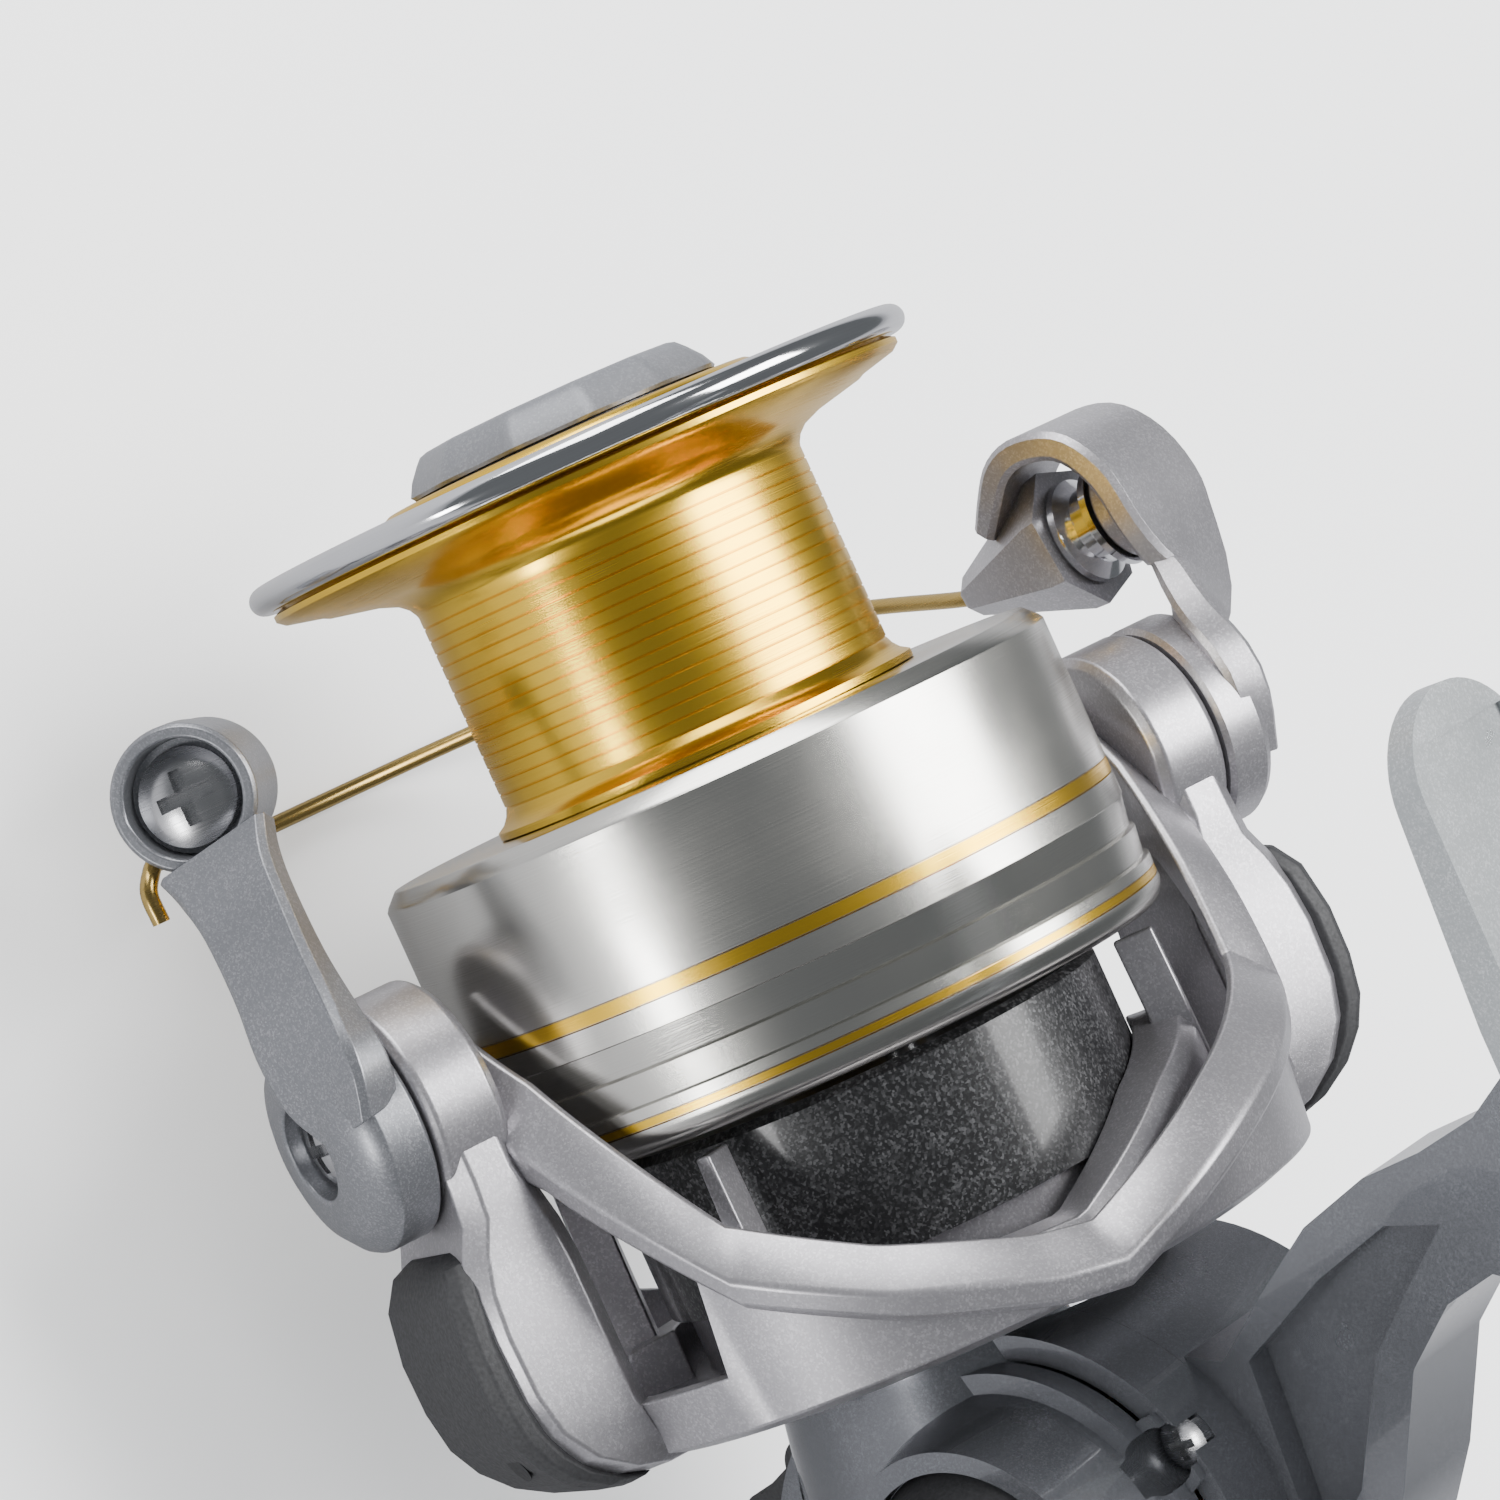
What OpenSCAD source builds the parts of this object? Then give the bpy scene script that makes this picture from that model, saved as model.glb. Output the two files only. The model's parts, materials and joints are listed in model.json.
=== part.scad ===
// Front-drag spinning reel, left-hand wind.
// The reel foot's rod seat lies in the plane z = 0 with its centre at the origin.
// +X points forward along the spool axis, +Y to the handle side, +Z towards the rod.

/* [Spool] */
// Outer diameter of the spool's front lip
lip_d = 68; // [60:0.5:74]
// Diameter of the chrome ring's round section
lip_ring_d = 2.7; // [2:0.1:3.4]
// Diameter of the line-carrying arbor
arbor_d = 39.8; // [34:0.2:42]
// Distance from the lip to the front edge of the skirt
winding_l = 29.5; // [26:0.5:33]
// Number of fine grooves turned in the arbor
arbor_grooves = 14; // [6:1:18]
// Outer diameter of the skirt
skirt_d = 68.4; // [64:0.2:72]
// Length of the skirt
skirt_l = 31; // [26:0.5:34]
// Wall of the skirt
skirt_wall = 2; // [1.4:0.1:2.4]
// Diameter of the drag washer pocket in the spool's front
drag_pocket_d = 28; // [24:0.5:31]
// Thickness of one drag washer
drag_washer_t = 1.1; // [0.8:0.05:1.3]

/* [Drag knob] */
// Width across the drag knob's corners
knob_d = 32; // [30:0.5:36]
// Height of the drag knob in front of the lip
knob_h = 6.6; // [6:0.2:10]

/* [Shafts] */
// Diameter of the main shaft
shaft_d = 5; // [4:0.1:5.4]
// Diameter of the pinion's front barrel
pinion_d = 8; // [7.4:0.1:8.6]
// Diameter of the drive gear shaft
drive_shaft_d = 10; // [9:0.2:10.6]
// Travel of the spool between its two ends
spool_stroke = 16; // [12:0.5:16.5]
// Radial clearance of every running fit
run_gap = 0.05; // [0.02:0.01:0.08]

/* [Rotor] */
// Turn of the rotor's arms below the horizontal, with the reel at rest
rotor_rest = -19; // [-60:1:60]
// Distance from the lip back to the bail's pivot axis
pivot_s = 48; // [45:0.5:51]
// Radial clearance between the spool's skirt and the rotor's hoop
hoop_gap = 2; // [1.4:0.1:4]
// Thickness of the rotor's hoop
hoop_t = 4.6; // [3.4:0.2:5.2]
// Depth of each arm from the hoop's inside to its outer face
arm_depth = 14.2; // [13:0.2:17]
// Width of each arm
arm_w = 20; // [16:0.5:22]
// Radius of the round pivot end of each arm
pivot_r = 11.2; // [10:0.2:12]

/* [Bail] */
// Diameter of the bail wire
wire_d = 1.7; // [1.4:0.1:2.2]
// Length of the lever from its pivot to its clamp screw
lever_l = 34.5; // [31:0.5:37]
// Diameter of the line roller
roller_d = 11; // [9:0.2:12]
// Length of the line roller
roller_l = 5; // [4:0.2:5.6]

/* [Body] */
// Drop from the rod seat to the spool axis
axis_drop = 82.6; // [80:0.2:88]
// Radius of the round gear case
case_r = 26; // [25:0.2:28]
// Full width of the gear case
case_w = 32; // [30:0.5:36]
// Wall of the gear case
case_wall = 2.5; // [2:0.1:3]
// Outer diameter of the handle boss at its mouth
boss_d = 31.4; // [28:0.2:34]
// Reach of the handle boss from the centre plane
boss_reach = 25; // [23:0.5:28]

/* [Foot and stem] */
// Length of the foot
foot_l = 80; // [72:1:90]
// Width of the foot
foot_w = 17; // [15:0.5:20]
// Thickness of the foot at its middle
foot_t = 4.6; // [4:0.1:5.4]
// Distance from the foot's front end forward to the lip
foot_to_lip = 48.5; // [46:0.5:52]
// Thickness of the stem's web
stem_w = 11; // [9:0.5:13]

/* [Handle] */
// Length of the crank from its axis to the knob's axis
crank_l = 62; // [50:1:75]
// Diameter of the handle's grip
grip_d = 30; // [24:0.5:34]
// Length of the handle's grip
grip_l = 38; // [32:0.5:44]

/* [Hidden] */

// Roundness of true circles
$fn = 96;
eps = 0.01;
// Gap between pieces of one assembly that rest against each other
seat_gap = 0.04;
// Gap between pieces that move past each other
move_gap = 0.35;

gold = [0.83, 0.62, 0.16];
silver = [0.72, 0.72, 0.70];
graphite = [0.32, 0.33, 0.36];
rotor_grey = [0.52, 0.51, 0.53];
black = [0.06, 0.06, 0.07];
steel = [0.62, 0.62, 0.63];
brass = [0.75, 0.6, 0.3];

lip_x = foot_l / 2 + foot_to_lip;
lip_r = lip_d / 2;
ring_r = lip_ring_d / 2;
arbor_r = arbor_d / 2;
skirt_r = skirt_d / 2;
skirt_s = winding_l;
skirt_end_s = skirt_s + skirt_l;
shaft_r = shaft_d / 2;
pinion_r = pinion_d / 2;
drive_r = drive_shaft_d / 2;
drag_pocket_r = drag_pocket_d / 2;
wire_r = wire_d / 2;

// Spool stations, measured back from the lip
spool_nose_s = -2.4;
drag_floor_s = 9.6;
core_rear_s = skirt_s + 5;

// Rotor stations, measured back from the lip
hoop_r = skirt_r + hoop_gap;
arm_reach = hoop_r + arm_depth;
cup_s = skirt_end_s + 2.5;
cup_web_t = 3;
floor_s = cup_s + 21;
floor_t = 3.5;
cup_r = 24;
cup_wall = 2.4;
nut_t = 3.4;

// Body stations, measured back from the lip
neck_s = floor_s + floor_t + 1.4;
neck_r = 19.5;
neck_flare = 1.8;
neck_shell_l = 10.1;
snout_r = 14;
snout_s = cup_s + cup_web_t + 3.5;
teeth_s = neck_s + 1.2;
teeth_l = 11.5;
pinion_tooth_r = 5.6;
rear_bearing_r = 6.2;
bearing_t = 4;
front_bearing_s = teeth_s - bearing_t - 0.6;
rear_bearing_s = teeth_s + teeth_l + 0.6;
pinion_end_s = rear_bearing_s + bearing_t + 0.5;
clutch_s = snout_s + 1.5;
clutch_l = front_bearing_s - clutch_s - 0.5;

// The case and the gear train, in x and in height above the spool axis
case_x = lip_x - 115.5;
tail_x = case_x - 19;
tail_h = -2;
tail_r = 14;
handle_x = case_x + 4.5;
handle_h = 11.5;
drive_case_r = 22;
osc_x = case_x - 11;
osc_h = -4;
osc_gear_r = norm([handle_x - osc_x, handle_h - osc_h]) / 2;
osc_teeth = 20;
osc_face_y = 6.6;
osc_t = 3;
crank_pin_r = 1.3;
crank_pin_e = spool_stroke / 2;
slider_x = osc_x + crank_pin_e;
slider_t = 9;
split_y = 6.2;
half_w = case_w / 2;
gear_teeth = 45;
pinion_teeth = 10;
gear_face_y = -(pinion_tooth_r + 0.85);
gear_r = 19.2;
gear_ring_w = 3.7;
gear_t = 5.2;
guide_r = 1.2;
guide_h = -6.4;
guide_y = 2.9;
guide_l = lip_x - rear_bearing_s - bearing_t - 0.6 - tail_x + tail_r - 4;

// Bail geometry in the rotor's own frame: x ahead of the lip, y along the arms, z across them
arm_face = arm_reach - 4.4;
arm_inner = hoop_r + 2;
disc_t = 7.4;
lever_lean = 7;
lever_tip = [lever_l * cos(lever_lean) - pivot_s, arm_face + 2.4, -lever_l * sin(lever_lean)];
lever_tilt = 55;
lever_face_r = 6.9;
lever_plate_t = 2.8;
lever_boss_t = 6;
roller_axis = [0.1, -0.45, 0.887];
roller_at = [21.5 - pivot_s, -arm_face - 6.6, -4.2];
holder_tip_l = 15.5;
holder_r = 7.6;

// ---------------------------------------------------------------- frames

// Local z runs forward along the spool axis, starting s behind the lip
module on_shaft(s) {
    translate([lip_x - s, 0, -axis_drop]) rotate([0, 90, 0]) children();
}

// Local z runs backward along the spool axis, starting s behind the lip
module back_from(s) {
    translate([lip_x - s, 0, -axis_drop]) rotate([0, -90, 0]) children();
}

// The rotor's frame: x measured from the lip, y along the left arm
module in_rotor() {
    translate([lip_x, 0, -axis_drop]) rotate([rotor_rest, 0, 0]) children();
}

// Local z runs to the handle side at place x, height h above the spool axis
module across(x, h, y) {
    translate([x, y, h - axis_drop]) rotate([-90, 0, 0]) children();
}

// Turns local z to the given direction
module aim(v) {
    rotate([0, acos(v[2] / norm(v)), atan2(v[1], v[0])]) children();
}

// A body of revolution round the spool axis from points [radius, station behind the lip]
module turned(points) {
    back_from(0) rotate_extrude() polygon(points);
}

module tube(r_out, r_in, h) {
    difference() {
        cylinder(r = r_out, h = h);
        translate([0, 0, -1]) cylinder(r = r_in, h = h + 2);
    }
}

// ---------------------------------------------------------------- shared shapes

// A gear outline with straight-sided teeth
module gear_outline(r, teeth, tooth_h) {
    pitch = 360 / teeth;
    polygon([for (i = [0 : teeth - 1]) each [
        (r - tooth_h) * [cos((i - 0.32) * pitch), sin((i - 0.32) * pitch)],
        (r + tooth_h * 0.75) * [cos((i - 0.13) * pitch), sin((i - 0.13) * pitch)],
        (r + tooth_h * 0.75) * [cos((i + 0.13) * pitch), sin((i + 0.13) * pitch)],
        (r - tooth_h) * [cos((i + 0.32) * pitch), sin((i + 0.32) * pitch)]
    ]]);
}

// Two circles joined by their outer tangents, the second at distance l along x
module link_outline(r1, r2, l) {
    a = acos((r1 - r2) / l);
    circle(r = r1);
    translate([l, 0]) circle(r = r2);
    polygon([
        r1 * [cos(a), sin(a)],
        [l, 0] + r2 * [cos(a), sin(a)],
        [l, 0] + r2 * [cos(a), -sin(a)],
        r1 * [cos(a), -sin(a)]
    ]);
}

// A pan-head cross-recess screw pointing down local -z, its head on the plane z = 0
module screw(head_r, head_h, shank_r, shank_l) {
    slot_w = head_r * 0.3;
    slot_l = head_r * 1.15;
    slot_depth = head_h * 0.55;
    difference() {
        union() {
            intersection() {
                cylinder(r = head_r, h = head_h);
                translate([0, 0, head_h - head_r * 2]) sphere(r = head_r * 2);
            }
            translate([0, 0, -shank_l]) cylinder(r = shank_r, h = shank_l + eps);
        }
        for (turn = [0, 90])
            rotate([0, 0, turn]) translate([-slot_l / 2, -slot_w / 2, head_h - slot_depth])
                cube([slot_l, slot_w, head_h]);
    }
}

// A ball bearing as two rings and its balls
module ball_bearing(r_out, r_in, t, balls) {
    mid = (r_out + r_in) / 2;
    ball_r = (r_out - r_in) * 0.24;
    land = (r_out - r_in) * 0.25;
    tube(r_out, r_out - land, t);
    tube(r_in + land, r_in, t);
    for (i = [0 : balls - 1])
        rotate([0, 0, i * 360 / balls]) translate([mid, 0, t / 2]) sphere(r = ball_r, $fn = 24);
}

// Points of a smooth path through a list of places
function spline_at(p, i, t) =
    let (
        a = p[max(i - 1, 0)], b = p[i], c = p[i + 1], d = p[min(i + 2, len(p) - 1)]
    )
    0.5 * ((2 * b) + (c - a) * t + (2 * a - 5 * b + 4 * c - d) * t * t
        + (3 * b - a - 3 * c + d) * t * t * t);

function spline(p, steps) = concat(
    [for (i = [0 : len(p) - 2]) for (k = [0 : steps - 1]) spline_at(p, i, k / steps)],
    [p[len(p) - 1]]
);

function unit(v) = v / norm(v);

function tangent(p, i) = unit(p[min(i + 1, len(p) - 1)] - p[max(i - 1, 0)]);

// A round rod of radius r along a path, with the same side direction kept all the way
module rod_along(path, r, sides, side_hint) {
    n = len(path);
    rings = [for (i = [0 : n - 1])
        let (t = tangent(path, i), u = unit(cross(t, side_hint)), v = cross(t, u))
        [for (k = [0 : sides - 1])
            path[i] + r * (cos(k * 360 / sides) * u + sin(k * 360 / sides) * v)]];
    points = [for (ring = rings) each ring];
    side_faces = [for (i = [0 : n - 2]) for (k = [0 : sides - 1]) [
        (i + 1) * sides + k, (i + 1) * sides + (k + 1) % sides,
        i * sides + (k + 1) % sides, i * sides + k
    ]];
    first = [[for (k = [0 : sides - 1]) k]];
    last = [[for (k = [sides - 1 : -1 : 0]) (n - 1) * sides + k]];
    polyhedron(points, concat(side_faces, first, last), convexity = 6);
}

// ---------------------------------------------------------------- body

// Side outline of the gear case, in x and height above the spool axis
module case_outline(inset) {
    reach = norm([tail_x - case_x, tail_h]);
    translate([case_x, 0]) rotate(atan2(tail_h, tail_x - case_x))
        link_outline(case_r - inset, tail_r - inset, reach);
    translate([handle_x, handle_h]) circle(r = drive_case_r - inset);
}

// Extrudes a side outline across the reel from y0 to y1
module slab(y0, y1) {
    translate([0, y1, -axis_drop]) rotate([90, 0, 0]) linear_extrude(y1 - y0) children();
}

// Side outline of the stem from the case up to the foot
module stem_outline() {
    top = axis_drop - foot_t + 0.6;
    polygon([
        [case_x + 21, 20], [case_x + 16.5, 33], [case_x + 21.5, 40.5], [-0.6, 48.5], [2.2, 57], [3, 64],
        [4.6, 71], [9, top], [-20, top], [-12, 72], [-9, 66], [-10.6, 60],
        [-15.5, 53.4], [case_x + 1, 46.6], [case_x - 9, 38], [case_x - 16, 27], [case_x - 19, 10]
    ]);
}

module foot_solid() {
    end_t = 2.6;
    half = foot_l / 2;
    end_r = foot_w / 2;
    intersection() {
        slab_top = 0;
        translate([0, 0, -foot_t - 1]) linear_extrude(foot_t + 1) union() {
            for (side = [-1, 1]) translate([side * (half - end_r), 0]) circle(r = end_r);
            square([foot_l - foot_w, foot_w], center = true);
        }
        translate([0, foot_w, 0]) rotate([90, 0, 0]) linear_extrude(2 * foot_w) polygon([
            [-half, slab_top], [half, slab_top], [half, -end_t], [half * 0.3, -foot_t],
            [-half * 0.45, -foot_t], [-half, -end_t]
        ]);
    }
}

// The raised rim of the rod seat leaves a shallow panel towards each end of the foot
module seat_panels() {
    rim = 1.8;
    depth = 0.5;
    panel_l = foot_l / 2 - 15 - rim;
    for (side = [-1, 1])
        translate([side * (15 + panel_l / 2), 0, -depth / 2 + eps])
            cube([panel_l - foot_w * 0.25, foot_w - 2 * rim, depth + 2 * eps], center = true);
}

module case_bosses() {
    across(handle_x, handle_h, -half_w - 8) cylinder(r = 14, h = 10);
}

module body_frame() {
    color(graphite) difference() {
        union() {
            slab(-half_w, split_y) case_outline(0);
            slab(-stem_w / 2, stem_w / 2) stem_outline();
            foot_solid();
            back_from(neck_s) cylinder(r1 = neck_r, r2 = neck_r + 3, h = 20);
            on_shaft(neck_s + 0.5) cylinder(r = snout_r, h = neck_s - snout_s + 0.5);
            case_bosses();
        }
        // The neck's rear flare opens into the gear case
        slab(-half_w + case_wall, split_y + 20) case_outline(case_wall);
        slab(split_y, half_w + 1) case_outline(-0.2);
        seat_panels();
        // Channels that lighten the stem from both sides
        for (side = [-1, 1]) slab(side * stem_w / 2 - 3, side * stem_w / 2 + 3) polygon([
            [case_x + 16, 36], [-5.5, 47.5], [-2.4, 57], [-3.6, 63], [-8, 57], [-13.5, 50],
            [case_x + 2, 42], [case_x - 4, 34]
        ]);
        // Stepped bore for the pinion, its two bearings and the clutch
        back_from(snout_s - 1) cylinder(r = 9.4 + seat_gap, h = front_bearing_s - snout_s + 1);
        back_from(front_bearing_s - 1) cylinder(r = 8 + seat_gap, h = bearing_t + 1.5);
        back_from(front_bearing_s) cylinder(r = 7, h = teeth_l + 9);
        across(handle_x, handle_h, -half_w - 9) cylinder(r = drive_r + 1, h = 20);
        across(handle_x, handle_h, -half_w - 6) cylinder(r = 8 + seat_gap, h = 10);
        // Holes for the guide rods and for the screws of the covers
        guide_holes();
        cover_screw_holes();
        translate([tail_x - tail_r + 5, -4, tail_h - axis_drop]) rotate([0, -90, 0]) cylinder(r = 1.3, h = 9);
        across(lever_x, lever_h, -5) cylinder(r = 1.6 + run_gap, h = 10.2);
        slab(-4.2, 4.2) translate([lever_x, lever_h - 2]) circle(r = 7);
    }
    color(graphite) screw_posts();
    color(graphite) rear_bearing_post();
    color(graphite) neck_shell();
}

// Half of the neck that reaches past the split, round which the side cover fits
module neck_shell() {
    difference() {
        back_from(neck_s) cylinder(r1 = neck_r, r2 = neck_r + neck_flare, h = neck_shell_l);
        back_from(neck_s + case_wall) cylinder(r = neck_r - case_wall, h = 2 * neck_shell_l);
        back_from(neck_s - 1) cylinder(r = 8 + seat_gap, h = case_wall + 2);
        translate([-case_r, split_y - neck_r * 3 - 0.3, -axis_drop - case_r]) cube([3 * case_r, 3 * neck_r, 2 * case_r]);
    }
}

module neck_clearance() {
    slope = neck_flare / neck_shell_l;
    fit = 0.12;
    back_from(neck_s - 1)
        cylinder(r1 = neck_r - slope + fit, r2 = neck_r + neck_flare + slope * fit + fit, h = neck_shell_l + 1 + fit);
}

// The four screws of the side cover, in x and height above the spool axis
cover_screws = [
    [case_x + 11.5, 29.6], [case_x - 25.5, 7], [case_x - 6, -19.4], [case_x + 12.6, -14.6]
];
lever_x = case_x + 16;
lever_h = -24.6;

// Holes that the cover's screws cut their threads into
module cover_screw_holes() {
    slab(gear_face_y + 3, split_y + 1) for (p = cover_screws) translate(p) circle(r = 1.3);
}

// Posts that carry the cover's screws, joined to the case wall
module screw_posts() {
    difference() {
        intersection() {
            slab(gear_face_y + 1.5, split_y) for (p = cover_screws) translate(p) circle(r = 3);
            slab(-half_w, split_y) case_outline(0.5);
        }
        cover_screw_holes();
    }
}

// Bridge inside the case that holds the pinion's rear bearing
module rear_bearing_post() {
    post_l = bearing_t + 3;
    difference() {
        intersection() {
            union() {
                back_from(rear_bearing_s) cylinder(r = 9, h = post_l);
                translate([lip_x - rear_bearing_s - post_l, -6, -axis_drop - case_r])
                    cube([post_l, 12, case_r - 4]);
            }
            slab(gear_face_y + 0.5, split_y) case_outline(0.5);
        }
        back_from(rear_bearing_s - 1) cylinder(r = rear_bearing_r + seat_gap, h = bearing_t + 1.1);
        back_from(rear_bearing_s) cylinder(r = 4, h = 20);
        across(handle_x, handle_h, -half_w) cylinder(r = drive_r + 0.6, h = case_w);
        guide_holes();
        cover_screw_holes();
    }
}

// Bores that hold the ends of the two guide rods
module guide_holes() {
    for (side = [-1, 1]) translate([tail_x - tail_r + 4, side * guide_y, guide_h - axis_drop])
        rotate([0, 90, 0]) cylinder(r = guide_r + seat_gap, h = guide_l);
}

module side_cover() {
    mouth_r = boss_d / 2;
    color(graphite) difference() {
        union() {
            slab(split_y + seat_gap, half_w - 3) case_outline(0);
            slab(half_w - 3 - eps, half_w) case_outline(2.5);
            across(handle_x, handle_h, half_w - 1) cylinder(r1 = mouth_r + 2, r2 = mouth_r, h = boss_reach - half_w + 1);
        }
        slab(split_y - 1, half_w - case_wall) case_outline(case_wall);
        neck_clearance();
        across(handle_x, handle_h, half_w - 4) cylinder(r = drive_r + 1, h = boss_reach);
        across(handle_x, handle_h, boss_reach - 6) cylinder(r = 8 + seat_gap, h = 20);
        across(handle_x, handle_h, boss_reach - 1.8) cylinder(r = mouth_r - 2, h = 20);
        for (p = cover_screws) {
            slab(split_y - 1, half_w + 1) translate(p) circle(r = 1.6);
            slab(split_y + 3.5, half_w + 1) translate(p) circle(r = 2.9);
        }
    }
    color(graphite) difference() {
        intersection() {
            slab(split_y + seat_gap, half_w - case_wall + 0.5) for (p = cover_screws) translate(p) circle(r = 4);
            slab(split_y, half_w) case_outline(0.6);
        }
        slab(split_y - 1, half_w + 1) for (p = cover_screws) translate(p) circle(r = 1.6);
        slab(split_y + 3.5, half_w + 1) for (p = cover_screws) translate(p) circle(r = 2.9);
        neck_clearance();
    }
}

module side_cover_screws() {
    color(steel) for (p = cover_screws)
        across(p[0], p[1], split_y + 3.5 + seat_gap) screw(2.6, 1.8, 1.2, 9);
}

module boss_collar() {
    mouth_r = boss_d / 2;
    color(black) across(handle_x, handle_h, boss_reach - 1.8 + seat_gap)
        difference() {
            cylinder(r1 = mouth_r - 2 - seat_gap, r2 = 11, h = 6);
            translate([0, 0, -1]) cylinder(r = drive_r + 0.5, h = 9);
        }
}

module rear_cover() {
    tail_end = tail_x - tail_r;
    color(black) difference() {
        intersection() {
            slab(-half_w + 5, half_w - 5) translate([tail_x, tail_h]) circle(r = tail_r + 1.6);
            translate([tail_end - 2, -20, tail_h - 9 - axis_drop]) cube([7, 40, 18]);
        }
        slab(-half_w - 1, half_w + 1) translate([tail_x, tail_h]) circle(r = tail_r + seat_gap);
        translate([tail_end + 2, -4, tail_h - axis_drop]) rotate([0, -90, 0]) cylinder(r = 1.5, h = 9);
    }
}

module rear_cover_screw() {
    tail_end = tail_x - tail_r;
    color(steel) translate([tail_end - 1.6 - seat_gap, -4, tail_h - axis_drop]) rotate([0, -90, 0])
        screw(2.6, 1.4, 1.2, 6);
}

module anti_reverse_lever() {
    color(black) {
        across(lever_x, lever_h, -4) cylinder(r = 1.6, h = 8);
        slab(-3.8, 3.8) difference() {
            union() {
                translate([lever_x, lever_h]) circle(r = 3.4);
                translate([lever_x, lever_h]) rotate(-112) translate([0, -2]) square([9.5, 4]);
                translate([lever_x, lever_h]) rotate(-112) translate([9.5, 0]) circle(r = 2.6);
            }
            translate([lever_x, lever_h]) circle(r = 1.5);
        }
    }
}

module clutch_housing() {
    color(steel) back_from(clutch_s) difference() {
        cylinder(r = 9.4, h = clutch_l);
        translate([0, 0, 1]) cylinder(r = 7.2, h = clutch_l);
        translate([0, 0, -1]) cylinder(r = pinion_r + 1.7, h = clutch_l);
    }
}

module clutch_rollers() {
    roller_r = 0.85;
    ring = pinion_r + 1.2 + run_gap + roller_r + 0.05;
    color(steel) back_from(clutch_s + 1.2) for (i = [0 : 7])
        rotate([0, 0, i * 45]) translate([ring, 0, 0]) cylinder(r = roller_r, h = clutch_l - 2, $fn = 32);
}

module clutch_sleeve() {
    color(steel) back_from(snout_s) tube(pinion_r + 1.2, pinion_r + 0.02, front_bearing_s - snout_s - 0.3);
}

module front_bearing() {
    color(steel) back_from(front_bearing_s) ball_bearing(8, pinion_r + run_gap, bearing_t, 9);
}

module rear_bearing() {
    color(steel) back_from(rear_bearing_s) ball_bearing(rear_bearing_r, 3.6 + run_gap, bearing_t, 9);
}

module drive_bearings() {
    color(steel) {
        across(handle_x, handle_h, boss_reach - 6 + seat_gap) ball_bearing(8, drive_r + run_gap, 4, 10);
        across(handle_x, handle_h, -half_w - 5.9) ball_bearing(8, drive_r + run_gap, 4, 10);
    }
}

module drive_gear() {
    far_end = -half_w - 6;
    near_end = boss_reach + 7;
    web_y = gear_face_y - gear_t;
    color(brass) {
        difference() {
            union() {
                across(handle_x, handle_h, far_end) cylinder(r = drive_r, h = near_end - far_end);
                across(handle_x, handle_h, web_y) cylinder(r = gear_r, h = 2.4);
                across(handle_x, handle_h, web_y) tube(gear_r, gear_r - gear_ring_w, gear_t - 1.5);
                across(handle_x, handle_h, osc_face_y) linear_extrude(osc_t)
                    gear_outline(osc_gear_r, osc_teeth, 0.9);
            }
            across(handle_x, handle_h, far_end - 1) cylinder(r = 3, h = near_end - far_end + 2);
        }
        // Face teeth on a raised ring, clear of the pinion's tips
        across(handle_x, handle_h, gear_face_y - 1.5 - eps) difference() {
            linear_extrude(1.5) gear_outline(gear_r - 0.8, gear_teeth, 0.9);
            translate([0, 0, -1]) cylinder(r = gear_r - gear_ring_w, h = 4);
        }
    }
}

module pinion_gear() {
    color(brass) back_from(cup_s - nut_t - 0.6) difference() {
        union() {
            cylinder(r = pinion_r, h = teeth_s - cup_s + nut_t + 0.6);
            translate([0, 0, teeth_s - cup_s + nut_t + 0.6 - eps]) linear_extrude(teeth_l)
                gear_outline(pinion_tooth_r, pinion_teeth, 0.7);
            cylinder(r = 3.6, h = pinion_end_s - cup_s + nut_t + 0.6);
        }
        translate([0, 0, -1]) cylinder(r = shaft_r + run_gap, h = 80);
    }
}

module oscillation_gear() {
    color(silver) {
        across(osc_x, osc_h, osc_face_y) difference() {
            union() {
                linear_extrude(osc_t) rotate(osc_mesh) gear_outline(osc_gear_r, osc_teeth, 0.9);
                translate([crank_pin_e, 0, -0.5]) cylinder(r = crank_pin_r, h = 0.9);
            }
            translate([0, 0, -5]) cylinder(r = 1.6 + run_gap, h = 12);
        }
    }
}

// Turn that puts a gap of the oscillation gear against a tooth of the drive gear
osc_mesh = 180 / osc_teeth;

module oscillation_screw() {
    color(steel) across(osc_x, osc_h, osc_face_y + osc_t + 0.3) {
        cylinder(r = 3, h = 0.9);
        translate([0, 0, -osc_t - 0.2]) cylinder(r = 1.6, h = osc_t + 0.4);
        cylinder(r = 1.6, h = half_w - case_wall - osc_face_y - osc_t - 0.3);
    }
}

module slider() {
    top = shaft_r + 1.1;
    bottom = guide_h - 3;
    face_y = osc_face_y - 0.6;
    color(silver) difference() {
        translate([slider_x - slider_t / 2, -4, bottom - axis_drop]) cube([slider_t, 4 + face_y, top - bottom]);
        translate([slider_x - slider_t, 0, -axis_drop]) rotate([0, 90, 0]) cylinder(r = shaft_r + 0.02, h = 2 * slider_t);
        for (side = [-1, 1]) translate([slider_x - slider_t, side * guide_y, guide_h - axis_drop])
            rotate([0, 90, 0]) cylinder(r = guide_r + run_gap, h = 2 * slider_t);
        // Slot of the crank pin, open to the side of the oscillation gear
        translate([slider_x - crank_pin_r - 0.3, face_y - 1.4, bottom - axis_drop - 1])
            cube([2 * crank_pin_r + 0.6, 3, top - bottom + 2]);
        translate([slider_x, 0, -axis_drop]) cylinder(r = 1.3, h = 20);
    }
}

module slider_screw() {
    color(steel) translate([slider_x, 0, shaft_r + 1.1 + seat_gap - axis_drop]) screw(2.4, 1.5, 1.2, 1.05);
}

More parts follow.
